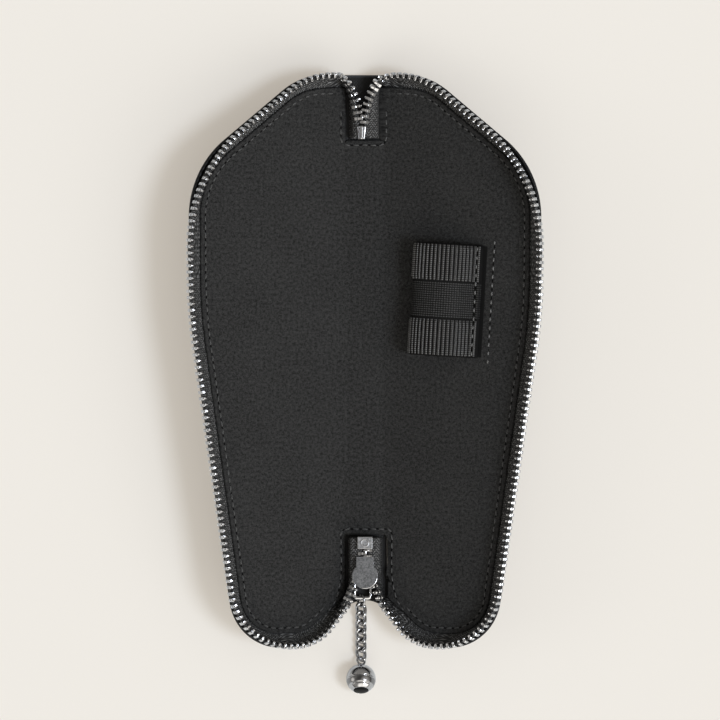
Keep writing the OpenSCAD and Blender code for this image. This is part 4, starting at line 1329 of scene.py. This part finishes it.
def wing_shape():
    """Outline of a slider's wing: a narrow rear that swells to a round mouth."""
    length, rear, mouth = (mm("zip", n) for n in ("slider_length", "slider_rear", "slider_mouth"))
    middle, r = length - mouth / 2, mouth / 2
    # The side goes straight back, then bends out to where the mouth's round edge starts.
    first, straight, bend = math.radians(38), 0.35, 0.62
    joint = Vector((r * math.cos(first), -middle + r * math.sin(first)))
    start = Vector((rear / 2, -middle * straight))
    pull = Vector((rear / 2, -middle * bend))
    right = [Vector((rear / 2, 0)), start]
    right += [start * (1 - t) ** 2 + pull * 2 * t * (1 - t) + joint * t * t
              for t in (k / 6 for k in range(1, 6))]
    bow = [Vector((a, b - middle)) for a, b in arc(r, first, -math.pi - first, 28)]
    left = [Vector((-p.x, p.y)) for p in reversed(right)]
    return [(p.x, p.y) for p in reversed(right + bow + left)]


class CASE_OT_slider(bpy.types.Operator):
    """The slider and the bail through its crown"""
    bl_idname = "pen_case.slider"
    bl_label = "Slider and bail"

    def execute(self, context):
        x, top, y = zip_x("foot"), mm("zip", "height"), -mm("zip", "slider_start")
        wing, channel = mm("zip", "wing"), mm("zip", "channel") / 2
        middle = mm("zip", "slider_length") - mm("zip", "slider_mouth") / 2
        shape = [(x + a, y + b) for a, b in wing_shape()]
        inner = prism(shape, top + channel, top + channel + wing)
        outer = prism(shape, top - channel - wing, top - channel)
        # The wedge between the wings parts the rows: blunt at the mouth, sharp to the rear.
        blunt_y, wide_y, sharp_y = y - 8.9, y - 8.0, y - 5.6
        half_blunt, half_wide = 0.5, 0.75
        wedge = prism([(x - half_blunt, blunt_y), (x + half_blunt, blunt_y),
                       (x + half_wide, wide_y), (x, sharp_y), (x - half_wide, wide_y)],
                      top - channel, top + channel)
        # Flanges along both wings guide the teeth.
        flanges, thick, deep, side_from, past_middle = [], 0.35, 0.6, 0.5, 0.4
        end_y = y - middle - past_middle
        for side in (-1, 1):
            edge = [(a, b) for a, b in shape if (a - x) * side > side_from and b > end_y]
            edge = sorted(edge, key=lambda p: -p[1])
            inward = [(a - side * thick, b) for a, b in edge]
            flange = edge + list(reversed(inward))
            if side > 0:
                flange = list(reversed(flange))
            flanges.append(prism(flange, top + channel - deep, top + channel))
            flanges.append(prism(flange, top - channel, top - channel + deep))
        body = mesh_object("slider", *joined(inner, outer, wedge, *flanges))
        bevelled(body, 0.42)
        dress(body, finishes()["cast"], body="slider", replaces=["slider_body"],
              edges=finishes()["clip"])

        # The edge of the round mouth is polished.
        inset, sunk, wire = 0.19, 0.2, 0.23
        turns = math.radians(-105), math.radians(-10)
        rim = [Vector((x + a, y - middle + b, top + channel + wing - sunk))
               for a, b in arc(mm("zip", "slider_mouth") / 2 - inset, *turns, 19)]
        edge = outward(mesh_object("slider_rim", *tube(rim, wire, sides=10)))
        dress(edge, finishes()["nickel"], body="slider")

        # Two arches under the slider hold the bail.
        past_middle, below = 0.3, 1.0
        crown_y, pivot_z = y - middle - past_middle, top - channel - wing - below
        half_gap, rise, half_long, high, wire = 0.55, 1.1, 2.0, 1.95, 0.42
        arches = []
        for side in (-1, 1):
            path = [Vector((x + side * half_gap, crown_y + half_long * a,
                            pivot_z + rise - high * b)) for a, b in arc(1.0, 0.0, math.pi, 16)]
            arches.append(tube(path, wire, sides=12))
        crown = mesh_object("slider_crown", *joined(*arches))
        dress(crown, finishes()["cast"], body="slider")

        # The bail is a rounded frame. Its bar in the crown is straight from corner to corner.
        x -= mm("pull", "bail_shift")
        w, length, r = mm("pull", "bail_width") / 2, mm("pull", "bail_length"), 0.9
        path = [(w, 0.0)]
        for a, first in ((w - r, 0), (r - w, 90)):
            turns = math.radians(first), math.radians(first + 90)
            path += [(a + p, length - r + q) for p, q in arc(r, *turns, 6)]
        path = [Vector((x + a, crown_y - b, pivot_z)) for a, b in path + [(-w, 0.0)]]
        bail = outward(mesh_object("bail", *tube(path, mm("pull", "bail_wire") * 0.53, True, 18)))
        dress(bail, finishes()["nickel"], body="bail", replaces=["pull_bail"])
        TOLD["pivot"] = Vector((zip_x("foot") - mm("pull", "chain_shift"), crown_y, pivot_z))
        return {"FINISHED"}


# ---- chain and ball ----

# In degrees: how far each link climbs, and the turns of the first link and of the ball's eye
# about the chain.
LINK_SLOPES = [-12, -20, -18, -2, 0, 0, 0]
FIRST_ROLL = 50
EYE_ROLL = 65


def link_dir(k):
    """The way in which link k points, from the bail to the ball."""
    a = math.radians(LINK_SLOPES[k])
    return Vector((0, -math.cos(a), math.sin(a)))


def bearings():
    """Where each link hangs in the one before it, from the bail to the ball."""
    start = TOLD["pivot"] - Vector((0, mm("pull", "bail_length"), 0))
    out = [start - link_dir(0) * mm("pull", "bail_wire") / 2]
    for k in range(len(LINK_SLOPES)):
        out.append(out[-1] + link_dir(k) * mm("pull", "link_pitch"))
    return out


def axes(x, towards):
    """A turn that brings x along the first way and z towards the second."""
    x = x.normalized()
    z = (towards - x * towards.dot(x)).normalized()
    y = z.cross(x)
    return Matrix((x, y, z)).transposed()


class CASE_OT_chain(bpy.types.Operator):
    """The wire links between bail and ball"""
    bl_idname = "pen_case.chain"
    bl_label = "Chain"

    def execute(self, context):
        places = bearings()
        for k, (a, b) in enumerate(zip(places, places[1:])):
            kind = "curb" if k else "link"
            wire, width = mm("pull", f"{kind}_wire"), mm("pull", f"{kind}_width")
            length = mm("pull", "link_pitch") + wire + mm("pull", "link_play")
            roll = 0 if k else FIRST_ROLL
            turn = axes(b - a, Vector((0, 0, 1))) @ Matrix.Rotation(math.radians(roll), 3, "X")
            mesh = bpy.data.meshes.new(f"link_{k + 1}")
            link = bpy.data.objects.new(f"link_wire_{k + 1}", mesh)
            context.scene.collection.objects.link(link)
            run_tree(link, curb_tree() if k else wire_tree(), {
                "Length": length * MM, "Width": width * MM, "Wire": wire / 2 * MM,
                "Twist": mm("pull", "curb_twist") * MM, "Slant": mm("pull", "curb_slant") * MM,
                "Middle": (a + b) / 2 * MM, "Turn": turn.to_euler(),
                "Finish": finishes()["chain"]})
            for face in link.data.polygons:
                face.use_smooth = True
            outward(link)
            dress(link, None, body=f"link_{k + 1}", replaces=[f"chain_link_{k + 1}"])
        return {"FINISHED"}


class CASE_OT_ball(bpy.types.Operator):
    """The ball with its eye and its black inset"""
    bl_idname = "pen_case.ball"
    bl_label = "Ball"

    def execute(self, context):
        r, eye, eye_wire = mm("pull", "ball") / 2, mm("pull", "eye"), mm("pull", "eye_wire")
        out = r + eye + eye_wire / 2
        end = bearings()[-1]
        reach = out + eye - eye_wire / 2
        tilt = math.asin((r - end.z) / reach)
        centre = Vector((end.x, end.y - reach * math.cos(tilt), r))
        # The ball's own frame: z runs from the inset to the eye.
        stand = Matrix.Translation(centre) @ Matrix.Rotation(-math.pi / 2 - tilt, 4, "X")

        def round_at(z):
            return math.sqrt(max(r * r - z * z, 0))

        # Shell: a ball with a seat for the inset and two grooves, whose edges are rounded.
        inset, depth, gap, lip = mm("pull", "inset") / 2, 0.9, 0.02, 0.05
        seat = -math.sqrt(r * r - inset * inset)
        groove = mm("pull", "groove")
        band, shift = mm("pull", "band") / 2, mm("pull", "band_shift")
        grooves = [(z - groove / 2, z + groove / 2) for z in (-shift - band, band - shift)]
        clear, rim, hair, drop, steps = 0.09, 0.04, 0.005, 0.07, 72
        start = math.asin((seat - gap) / r)
        rest = []
        for k in range(steps + 1):
            a = start + (math.pi / 2 - start) * k / steps
            z = r * math.sin(a)
            if not any(a - clear < z < b + clear for a, b in grooves):
                rest.append((round_at(z), z))
        for a, b in grooves:
            floor = round_at((a + b) / 2) - groove
            for z, out_of in ((a, -1), (b, 1)):
                rest += [(round_at(z) - hair, z + out_of * rim), (round_at(z) - drop, z),
                         (floor, z - out_of * lip)]
        profile = [(0.0, seat + depth), (inset - gap, seat + depth), (inset, seat + lip)]
        profile += sorted(rest, key=lambda p: p[1])
        profile[-1] = (0.0, r)
        shell = outward(mesh_object("ball", *at(stand, lathe(profile, 96))))
        dress(shell, finishes()["ball"], body="ball", replaces=["ball_shell"])

        # The band between the grooves is darker and stands out a hair.
        low, high, proud = grooves[0][1] + lip, grooves[1][0] - lip, 0.02
        waist = [(round_at(z) + proud, z) for z in (low + (high - low) * k / 12 for k in range(13))]
        waist = lathe([(0.0, low)] + waist + [(0.0, high)], 96)
        waist = outward(mesh_object("ball_band", *at(stand, waist)))
        dress(waist, finishes()["dark"], body="ball")

        # The inset is a low dome in the seat.
        edge, base, foot, dome = inset - 0.05, seat + 0.85, seat + 0.25, 0.62
        profile = [(0.0, base), (edge, base), (edge, foot)]
        profile += [(edge * a, foot - dome * b) for a, b in arc(1.0, 0.0, math.pi / 2, 10)[1:]]
        profile[-1] = (0.0, profile[-1][1])
        plug = outward(mesh_object("ball_black_inset", *at(stand, lathe(profile, 64))))
        dress(plug, finishes()["inset"], body="ball", replaces=["ball_inset"])

        # The eye is a ring of wire on a collar.
        ring = [Vector((a, 0, out + b)) for a, b in circle(eye, 36)]
        roll = Matrix.Rotation(math.radians(-EYE_ROLL - 90), 4, "Z")
        sunk, step, top = r - 0.3, r + 0.12, r + 0.22
        collar = lathe([(0.0, sunk), (0.7, sunk), (0.66, step), (0.48, top), (0.0, top)], 32)
        wire = tube(ring, eye_wire / 2, True)
        eyelet = joined(at(stand @ roll, wire), at(stand, collar))
        eyelet = outward(mesh_object("ball_eyelet", *eyelet))
        dress(eyelet, finishes()["ball"], body="ball", replaces=["ball_eye"])
        return {"FINISHED"}


# ---- pen loop ----

def on_loop(across, along, up):
    """A point of the pen loop's own frame, placed on the right half."""
    lean = -of("loop").lean
    u = mm("loop", "from_fold") + across * math.cos(lean) - along * math.sin(lean)
    v = mm("loop", "along") + across * math.sin(lean) + along * math.cos(lean)
    return place(1, u, v, up)


def loop_section():
    """The middle line of the elastic round the loop, from the upper tab over the top and round
    the bow beside the fold to the lower tab, in shares of the loop's width and height."""
    w, h, t, tab = (mm("loop", n) for n in ("width", "height", "elastic", "tab"))
    r, long_r = (h - t) / 2, 0.42 * w
    top = [Vector((w + tab, 1.5 * t)), Vector((w + 0.4, 1.55 * t)), Vector((w * 0.93, h * 0.42)),
           Vector((w * 0.82, h * 0.70)), Vector((w * 0.66, h * 0.87)), Vector((w * 0.5, h - t / 2))]
    bow = [Vector(((long_r if a < 1.6 else r) * (1 - math.sin(a)) + t / 2, h / 2 + r * math.cos(a)))
           for a in (math.pi * k / 8 for k in range(9))]
    low = [Vector((w * 0.5, t / 2)), Vector((w * 0.8, t / 2)), Vector((w + tab, t / 2))]
    return spline([p.to_3d() for p in top + bow + low], 5)


class CASE_OT_loop(bpy.types.Operator):
    """The ribbed elastic pen loop"""
    bl_idname = "pen_case.pen_loop"
    bl_label = "Pen loop"

    def execute(self, context):
        section = [Vector((p.x, p.y)) for p in loop_section()]
        length, t = mm("loop", "length"), mm("loop", "elastic")
        band, half_t = mm("loop", "band") / 2, t * 0.36
        last = len(section) - 1
        normals = []
        for i in range(last + 1):
            d = (section[min(i + 1, last)] - section[max(i - 1, 0)]).normalized()
            normals.append(Vector((d.y, -d.x)))
        # The elastic sags a little towards its two ends.
        steps, end_sag = 26, 0.12
        low, high, flat, run = [], [], [], 0.0
        for i, (p, n) in enumerate(zip(section, normals)):
            run += (p - section[i - 1]).length if i else 0.0
            for k in range(steps + 1):
                along = length * (k / steps - 0.5)
                mid = p - n * end_sag * (2 * along / length) ** 2
                a, b = mid + n * half_t, mid - n * half_t
                high.append(on_loop(a.x, along, a.y))
                low.append(on_loop(b.x, along, b.y))
                flat.append((run, along))
        quads = grid_quads(len(section), steps + 1)
        base = outward(thick_mesh("loop_elastic", quads, low, high, flat, 0.4))
        dress(base, finishes()["band"], body="right_half", replaces=["pen_loop"],
              edges=finishes()["shade"])
        # The ground between the ribs is painted shade, the band between them is woven plain.
        spots = base.data.uv_layers.active.data
        for face in base.data.polygons:
            middle = sum(abs(spots[q].uv.y) for q in face.loop_indices) / face.loop_total
            face.material_index = int(middle > band)

        # Ribs stand on the elastic at both sides of the band, down to where it lies on the
        # lining under the pen.
        pitch, zone = mm("loop", "rib_pitch"), length / 2 - band
        under, start = mm("loop", "width") * 0.95, 0.5
        for name, middle in (("foot", -(band + zone / 2)), ("head", band + zone / 2)):
            path = [on_loop(p.x + n.x * half_t, middle, p.y + n.y * half_t)
                    for p, n in zip(section, normals)]
            heads = [on_loop(p.x + n.x, middle, p.y + n.y) - on_loop(p.x, middle, p.y)
                     for p, n in zip(section, normals)]
            path, heads = cut_path(path, heads, start, under)
            rib = rib_piece(zone, pitch * 0.66, t * 0.5)
            count = int(path_length(path) / pitch) + 1
            ribs = row_of(f"loop_ribs_{name}", path, heads, rib, count, finishes()["ribs"],
                          math.radians(0.4), 5)
            bpy.data.objects.remove(rib)
            dress(ribs, None, body="right_half")
        return {"FINISHED"}


def rib_piece(length, width, height):
    """One rib of the elastic: a low rounded bar along y that thins out at both ends."""
    steps, around = 10, 6
    sunk, thinner, thin_from, flat_step = 0.1, 0.75, 0.85, 0.2
    verts, flat = [], []
    for j in range(steps + 1):
        y = length * (j / steps - 0.5)
        end = max(0.0, abs(2 * j / steps - 1) - thin_from) / (1 - thin_from)
        thin = 1.0 - thinner * end
        for k, (a, b) in enumerate(arc(1.0, 0.0, math.pi, around)):
            verts.append(Vector((-width / 2 * a, y, (height * b - sunk) * thin)))
            flat.append((k * flat_step, y))
    faces = [tuple(reversed(q)) for q in grid_quads(steps + 1, around + 1)]
    faces += [(j * (around + 1), (j + 1) * (around + 1), (j + 2) * (around + 1) - 1,
               (j + 1) * (around + 1) - 1) for j in range(steps)]
    faces.append(tuple(range(around + 1)))
    faces.append(tuple(reversed(range(steps * (around + 1), (steps + 1) * (around + 1)))))
    return outward(mesh_object("rib_pattern", verts, faces, flat))


# ---- stitches ----

# How far the middle of a stitch lies above the lining.
ON_LINING = 0.02


def stitch_piece(length, thread):
    """One stitch: a short thread that dives into the leather at both ends, along x."""
    rise, dive = 0.25, 0.8
    path = [Vector((length / 2 * s, 0, thread * (rise - dive * abs(s) ** 3)))
            for s in (2 * k / 8 - 1 for k in range(9))]
    return mesh_object("stitch_pattern", *tube(path, thread / 2, sides=8))


def hole_shade_piece(length, width):
    """Painted shade of the hollow between two stitches: a low dark oval along x."""
    sunk, proud = -0.12, 0.035
    rim = [(x * length / 2, y * width / 2) for x, y in circle(1.0, 10)]
    return mesh_object("hole_pattern", *prism(rim, sunk, proud), smooth=False)


def sewn(name, line, heads, stitch, hole, pitch, seed, thread="thread"):
    """A row of stitches along a line, with dark ovals of painted shade for the needle holes between
    them.
    """
    count = max(3, int(path_length(line) / pitch) + 1)
    half = path_length(line) / (count - 1) / 2
    between, between_heads = cut_path(line, heads, half, half)
    return [row_of(name, line, heads, stitch, count, finishes()[thread], math.radians(6), seed),
            row_of(name + "_holes", between, between_heads, hole, count - 1, finishes()["hole"],
                   math.radians(5), seed + 1)]


class CASE_OT_stitches(bpy.types.Operator):
    """Edge stitches, the stitches round both windows and those of the pen loop"""
    bl_idname = "pen_case.stitches"
    bl_label = "Stitches"

    def execute(self, context):
        half = Half()
        pitch, thread = mm("case", "stitch_pitch"), mm("case", "thread")
        long_share, short_share, hole_share, hole_width = 0.6, 0.34, 0.4, 0.95
        stitch = stitch_piece(pitch * long_share, thread)
        short = stitch_piece(pitch * short_share, thread)
        hole = hole_shade_piece(pitch * hole_share, thread * hole_width)
        angle = math.degrees(math.asin(1 - mm("case", "stitch_in") / mm("case", "curl_width")))
        spans = range(5, half.last - 3)
        for side, name in ((-1, "left"), (1, "right")):
            path = [place(side, *half.curl(i, angle, stack())) for i in spans]
            above = [place(side, *half.curl(i, angle, stack() + 1)) for i in spans]
            rows = sewn(f"stitches_{name}", path, [b - a for a, b in zip(path, above)], stitch,
                        hole, pitch, 3)
            for which, line in window_rows(side).items():
                heads = [place(side, u, v, 1) - place(side, u, v, 0) for u, v in line]
                line = [place(side, u, v, ON_LINING) for u, v in line]
                rows += sewn(f"window_{which}_{name}", line, heads, stitch, hole, pitch, 4)
            if side > 0:
                self.sew_loop(short, hole, pitch)
            for row in rows:
                nodes = [f"edge_stitches_{name}"] if row.name == f"stitches_{name}" else []
                dress(row, None, blend=f"{name}_half", replaces=nodes)
        for pattern in (stitch, short, hole):
            bpy.data.objects.remove(pattern)
        return {"FINISHED"}

    def sew_loop(self, stitch, hole, pitch):
        """The row that holds the pen loop, and the lining's slit of painted shade with its own row.
        """
        far, end = mm("loop", "width") + mm("loop", "tab"), mm("loop", "length") / 2
        on_tab = mm("loop", "width") + mm("loop", "tab") * 0.55
        beyond, short_of, past_end = 3.5, 1.0, 1.2
        # Where each row lies across, half its length and its height above the lining.
        seams = {"loop_seam": (on_tab, end - short_of, 1.9 * mm("loop", "elastic")),
                 "slit_seam": (far + beyond, end + past_end, ON_LINING)}
        for name, (across, reach, up) in seams.items():
            spots = [(across, reach * (k / 10 - 1)) for k in range(21)]
            line = [on_loop(a, b, up) for a, b in spots]
            heads = [on_loop(a, b, up + 1) - on_loop(a, b, up) for a, b in spots]
            for row in sewn(name, line, heads, stitch, hole, pitch, 6, "bright_thread"):
                nodes = ["loop_stitches"] if row.name == "loop_seam" else []
                dress(row, None, body="right_half", replaces=nodes)
        # The slit, a near-black block of painted shade, starts under the tab's edge.
        near, past, sunk, proud = far - 0.8, far + 1.3, -0.2, 0.14
        verts, faces = prism([(near, -end), (past, -end), (past, end), (near, end)], sunk, proud)
        slit = mesh_object("lining_slit", [on_loop(*p) for p in verts], faces, smooth=False)
        dress(outward(slit), finishes()["shade"], body="right_half")


def window_rows(side):
    """The rows of stitches round both windows, on one side of the middle, as (u, v)."""
    head, foot = mm("case", "head_window"), mm("case", "foot_window")
    half_spine = mm("case", "spine_width") / 2
    # Beside the windows the rows run so far out from the fold line, at head and foot.
    out, low = (1.3, 1.3) if side < 0 else (0.4, 2.2)

    def bent(points):
        return [(p.x, p.y) for p in spline([Vector((u, v, 0)) for u, v in points], 5)]

    # Each row runs along the window's edge, round its corner and on beside the zip.
    return {
        "head": bent([(-half_spine, head - 1.3), (out - 1.8, head - 1.3),
                      (out - 0.3, head - 0.4), (out, head + 1.6), (out, head + 8)]),
        "foot": bent([(-half_spine, 1.6 - foot), (low - 1.8, 1.6 - foot),
                      (low - 0.3, 0.8 - foot), (low, -1.2 - foot), (low, -foot - 12),
                      (low + 1.4, -foot - 19), (low + 3.6, -foot - 22.5)]),
    }


# ---- stage ----

# The way to the key light, and the soft boxes in the even light: the way to each, the angles
# at which it is full and gone, and its strength.
KEY_WAY = (0.50, -0.16, 0.85)
SOFT_BOXES = [(KEY_WAY, 16, 38, 0.75), ((-0.93, -0.12, 0.36), 8, 20, 1.8),
              ((0.60, -0.62, 0.50), 12, 26, 2.3), ((0.0, -0.80, 0.60), 12, 26, 1.8)]
# Brightness of the even light, from the horizon (0) to straight above (1).
SKY = [(0.0, 0.2), (0.1, 0.26), (0.3, 0.42), (0.72, 0.42), (0.9, 0.2), (1.0, 0.15)]
SKY_COLOUR = (1.0, 0.96, 0.89, 1)
KEY_COLOUR = (0.93, 1.0, 1.1)


class CASE_OT_stage(bpy.types.Operator):
    """Floor, soft light from the right and the camera straight above"""
    bl_idname = "pen_case.stage"
    bl_label = "Stage"

    def execute(self, context):
        scene = context.scene
        stage = of("stage")
        reach = 4000
        corners = [(-reach, -reach, 0), (reach, -reach, 0), (reach, reach, 0), (-reach, reach, 0)]
        floor = mesh_object("floor", corners, [(0, 1, 2, 3)], smooth=False)
        mat, net, shader = finish("Pale paper floor", stage.floor, 0.95, Specular_IOR_Level=0.0)
        ray = net.add("ShaderNodeLightPath").outputs
        seen = net.math("MAXIMUM", ray["Is Camera Ray"], ray["Is Transmission Ray"])
        glow = net.add("ShaderNodeEmission", {"Color": (*stage.paper, 1), "Strength": 1.0})
        mixed = net.add("ShaderNodeMixShader", {0: net.math("MULTIPLY", seen, stage.paper_share),
                                                1: shader.outputs[0], 2: glow.outputs[0]})
        net.tree.links.new(mixed.outputs[0], net.tree.nodes["Material Output"].inputs["Surface"])
        floor.data.materials.append(mat)

        world = scene.world or bpy.data.worlds.new("Studio")
        scene.world = world
        world.use_nodes = True
        net = Net(world.node_tree)
        back = world.node_tree.nodes["Background"]
        way = net.add("ShaderNodeTexCoord").outputs["Generated"]
        up = net.add("ShaderNodeSeparateXYZ", {"Vector": way}).outputs["Z"]
        level = graded(net, up, [(height, (grey,) * 3) for height, grey in SKY])
        for lamp_way, inner, outer, strength in SOFT_BOXES:
            near = net.add("ShaderNodeVectorMath", {0: way, 1: Vector(lamp_way).normalized()},
                           operation="DOT_PRODUCT").outputs["Value"]
            spread = [math.cos(math.radians(a)) for a in (outer, inner)]
            level = net.math("ADD", level, levels(net, near, 0.0, strength, *spread))
        back.inputs["Color"].default_value = SKY_COLOUR
        world.node_tree.links.new(net.math("MULTIPLY", level, stage.sky), back.inputs["Strength"])

        key = bpy.data.lights.new("key", "SUN")
        key.energy, key.angle = stage.key, stage.key_size
        key.color = KEY_COLOUR
        lamp = bpy.data.objects.new("key", key)
        way, far = Vector(KEY_WAY).normalized(), 0.9
        lamp.location = way * far
        lamp.rotation_euler = way.to_track_quat("Z", "Y").to_euler()
        scene.collection.objects.link(lamp)

        data = bpy.data.cameras.new("camera")
        sensor, off_middle, zip_height, clip_end = 36.0, -1.5, 10.0, 20.0
        data.lens, data.sensor_width, data.clip_end = stage.lens, sensor, clip_end
        distance = mm("stage", "picture") * stage.lens / sensor
        camera = bpy.data.objects.new("camera", data)
        camera.location = (off_middle * MM, 0.0, (distance + zip_height) * MM)
        scene.collection.objects.link(camera)
        scene.camera = camera
        scene.view_settings.view_transform = "Standard"
        return {"FINISHED"}


OPERATORS = [CASE_OT_leather, CASE_OT_lining, CASE_OT_boards, CASE_OT_tapes, CASE_OT_teeth,
             CASE_OT_fittings, CASE_OT_slider, CASE_OT_chain, CASE_OT_ball, CASE_OT_loop,
             CASE_OT_stitches, CASE_OT_stage]


class CASE_PT_panel(bpy.types.Panel):
    """All the pieces of the pen case, in the order in which they are made"""
    bl_idname = "CASE_PT_panel"
    bl_label = "Fountain Pen Case"
    bl_space_type = "VIEW_3D"
    bl_region_type = "UI"
    bl_category = "Pen Case"

    def draw(self, context):
        for group in GROUPS:
            box = self.layout.box()
            values = of(group)
            for name in values.bl_rna.properties.keys():
                if name not in ("rna_type", "name"):
                    box.prop(values, name)
        for operator in OPERATORS:
            self.layout.operator(operator.bl_idname)


def register():
    """Makes the add-on's sizes, operators and panel known to Blender."""
    for cls in list(GROUPS.values()) + OPERATORS + [CASE_PT_panel]:
        bpy.utils.register_class(cls)
    for name, cls in GROUPS.items():
        setattr(bpy.types.Scene, "pen_case_" + name, bpy.props.PointerProperty(type=cls))


def unregister():
    """Undoes register()."""
    for name in GROUPS:
        delattr(bpy.types.Scene, "pen_case_" + name)
    for cls in [CASE_PT_panel] + OPERATORS[::-1] + list(GROUPS.values()):
        bpy.utils.unregister_class(cls)


def main():
    """Makes all pieces in order."""
    register()
    for operator in OPERATORS:
        group, name = operator.bl_idname.split(".")
        getattr(getattr(bpy.ops, group), name)()


if __name__ == "__main__":
    main()
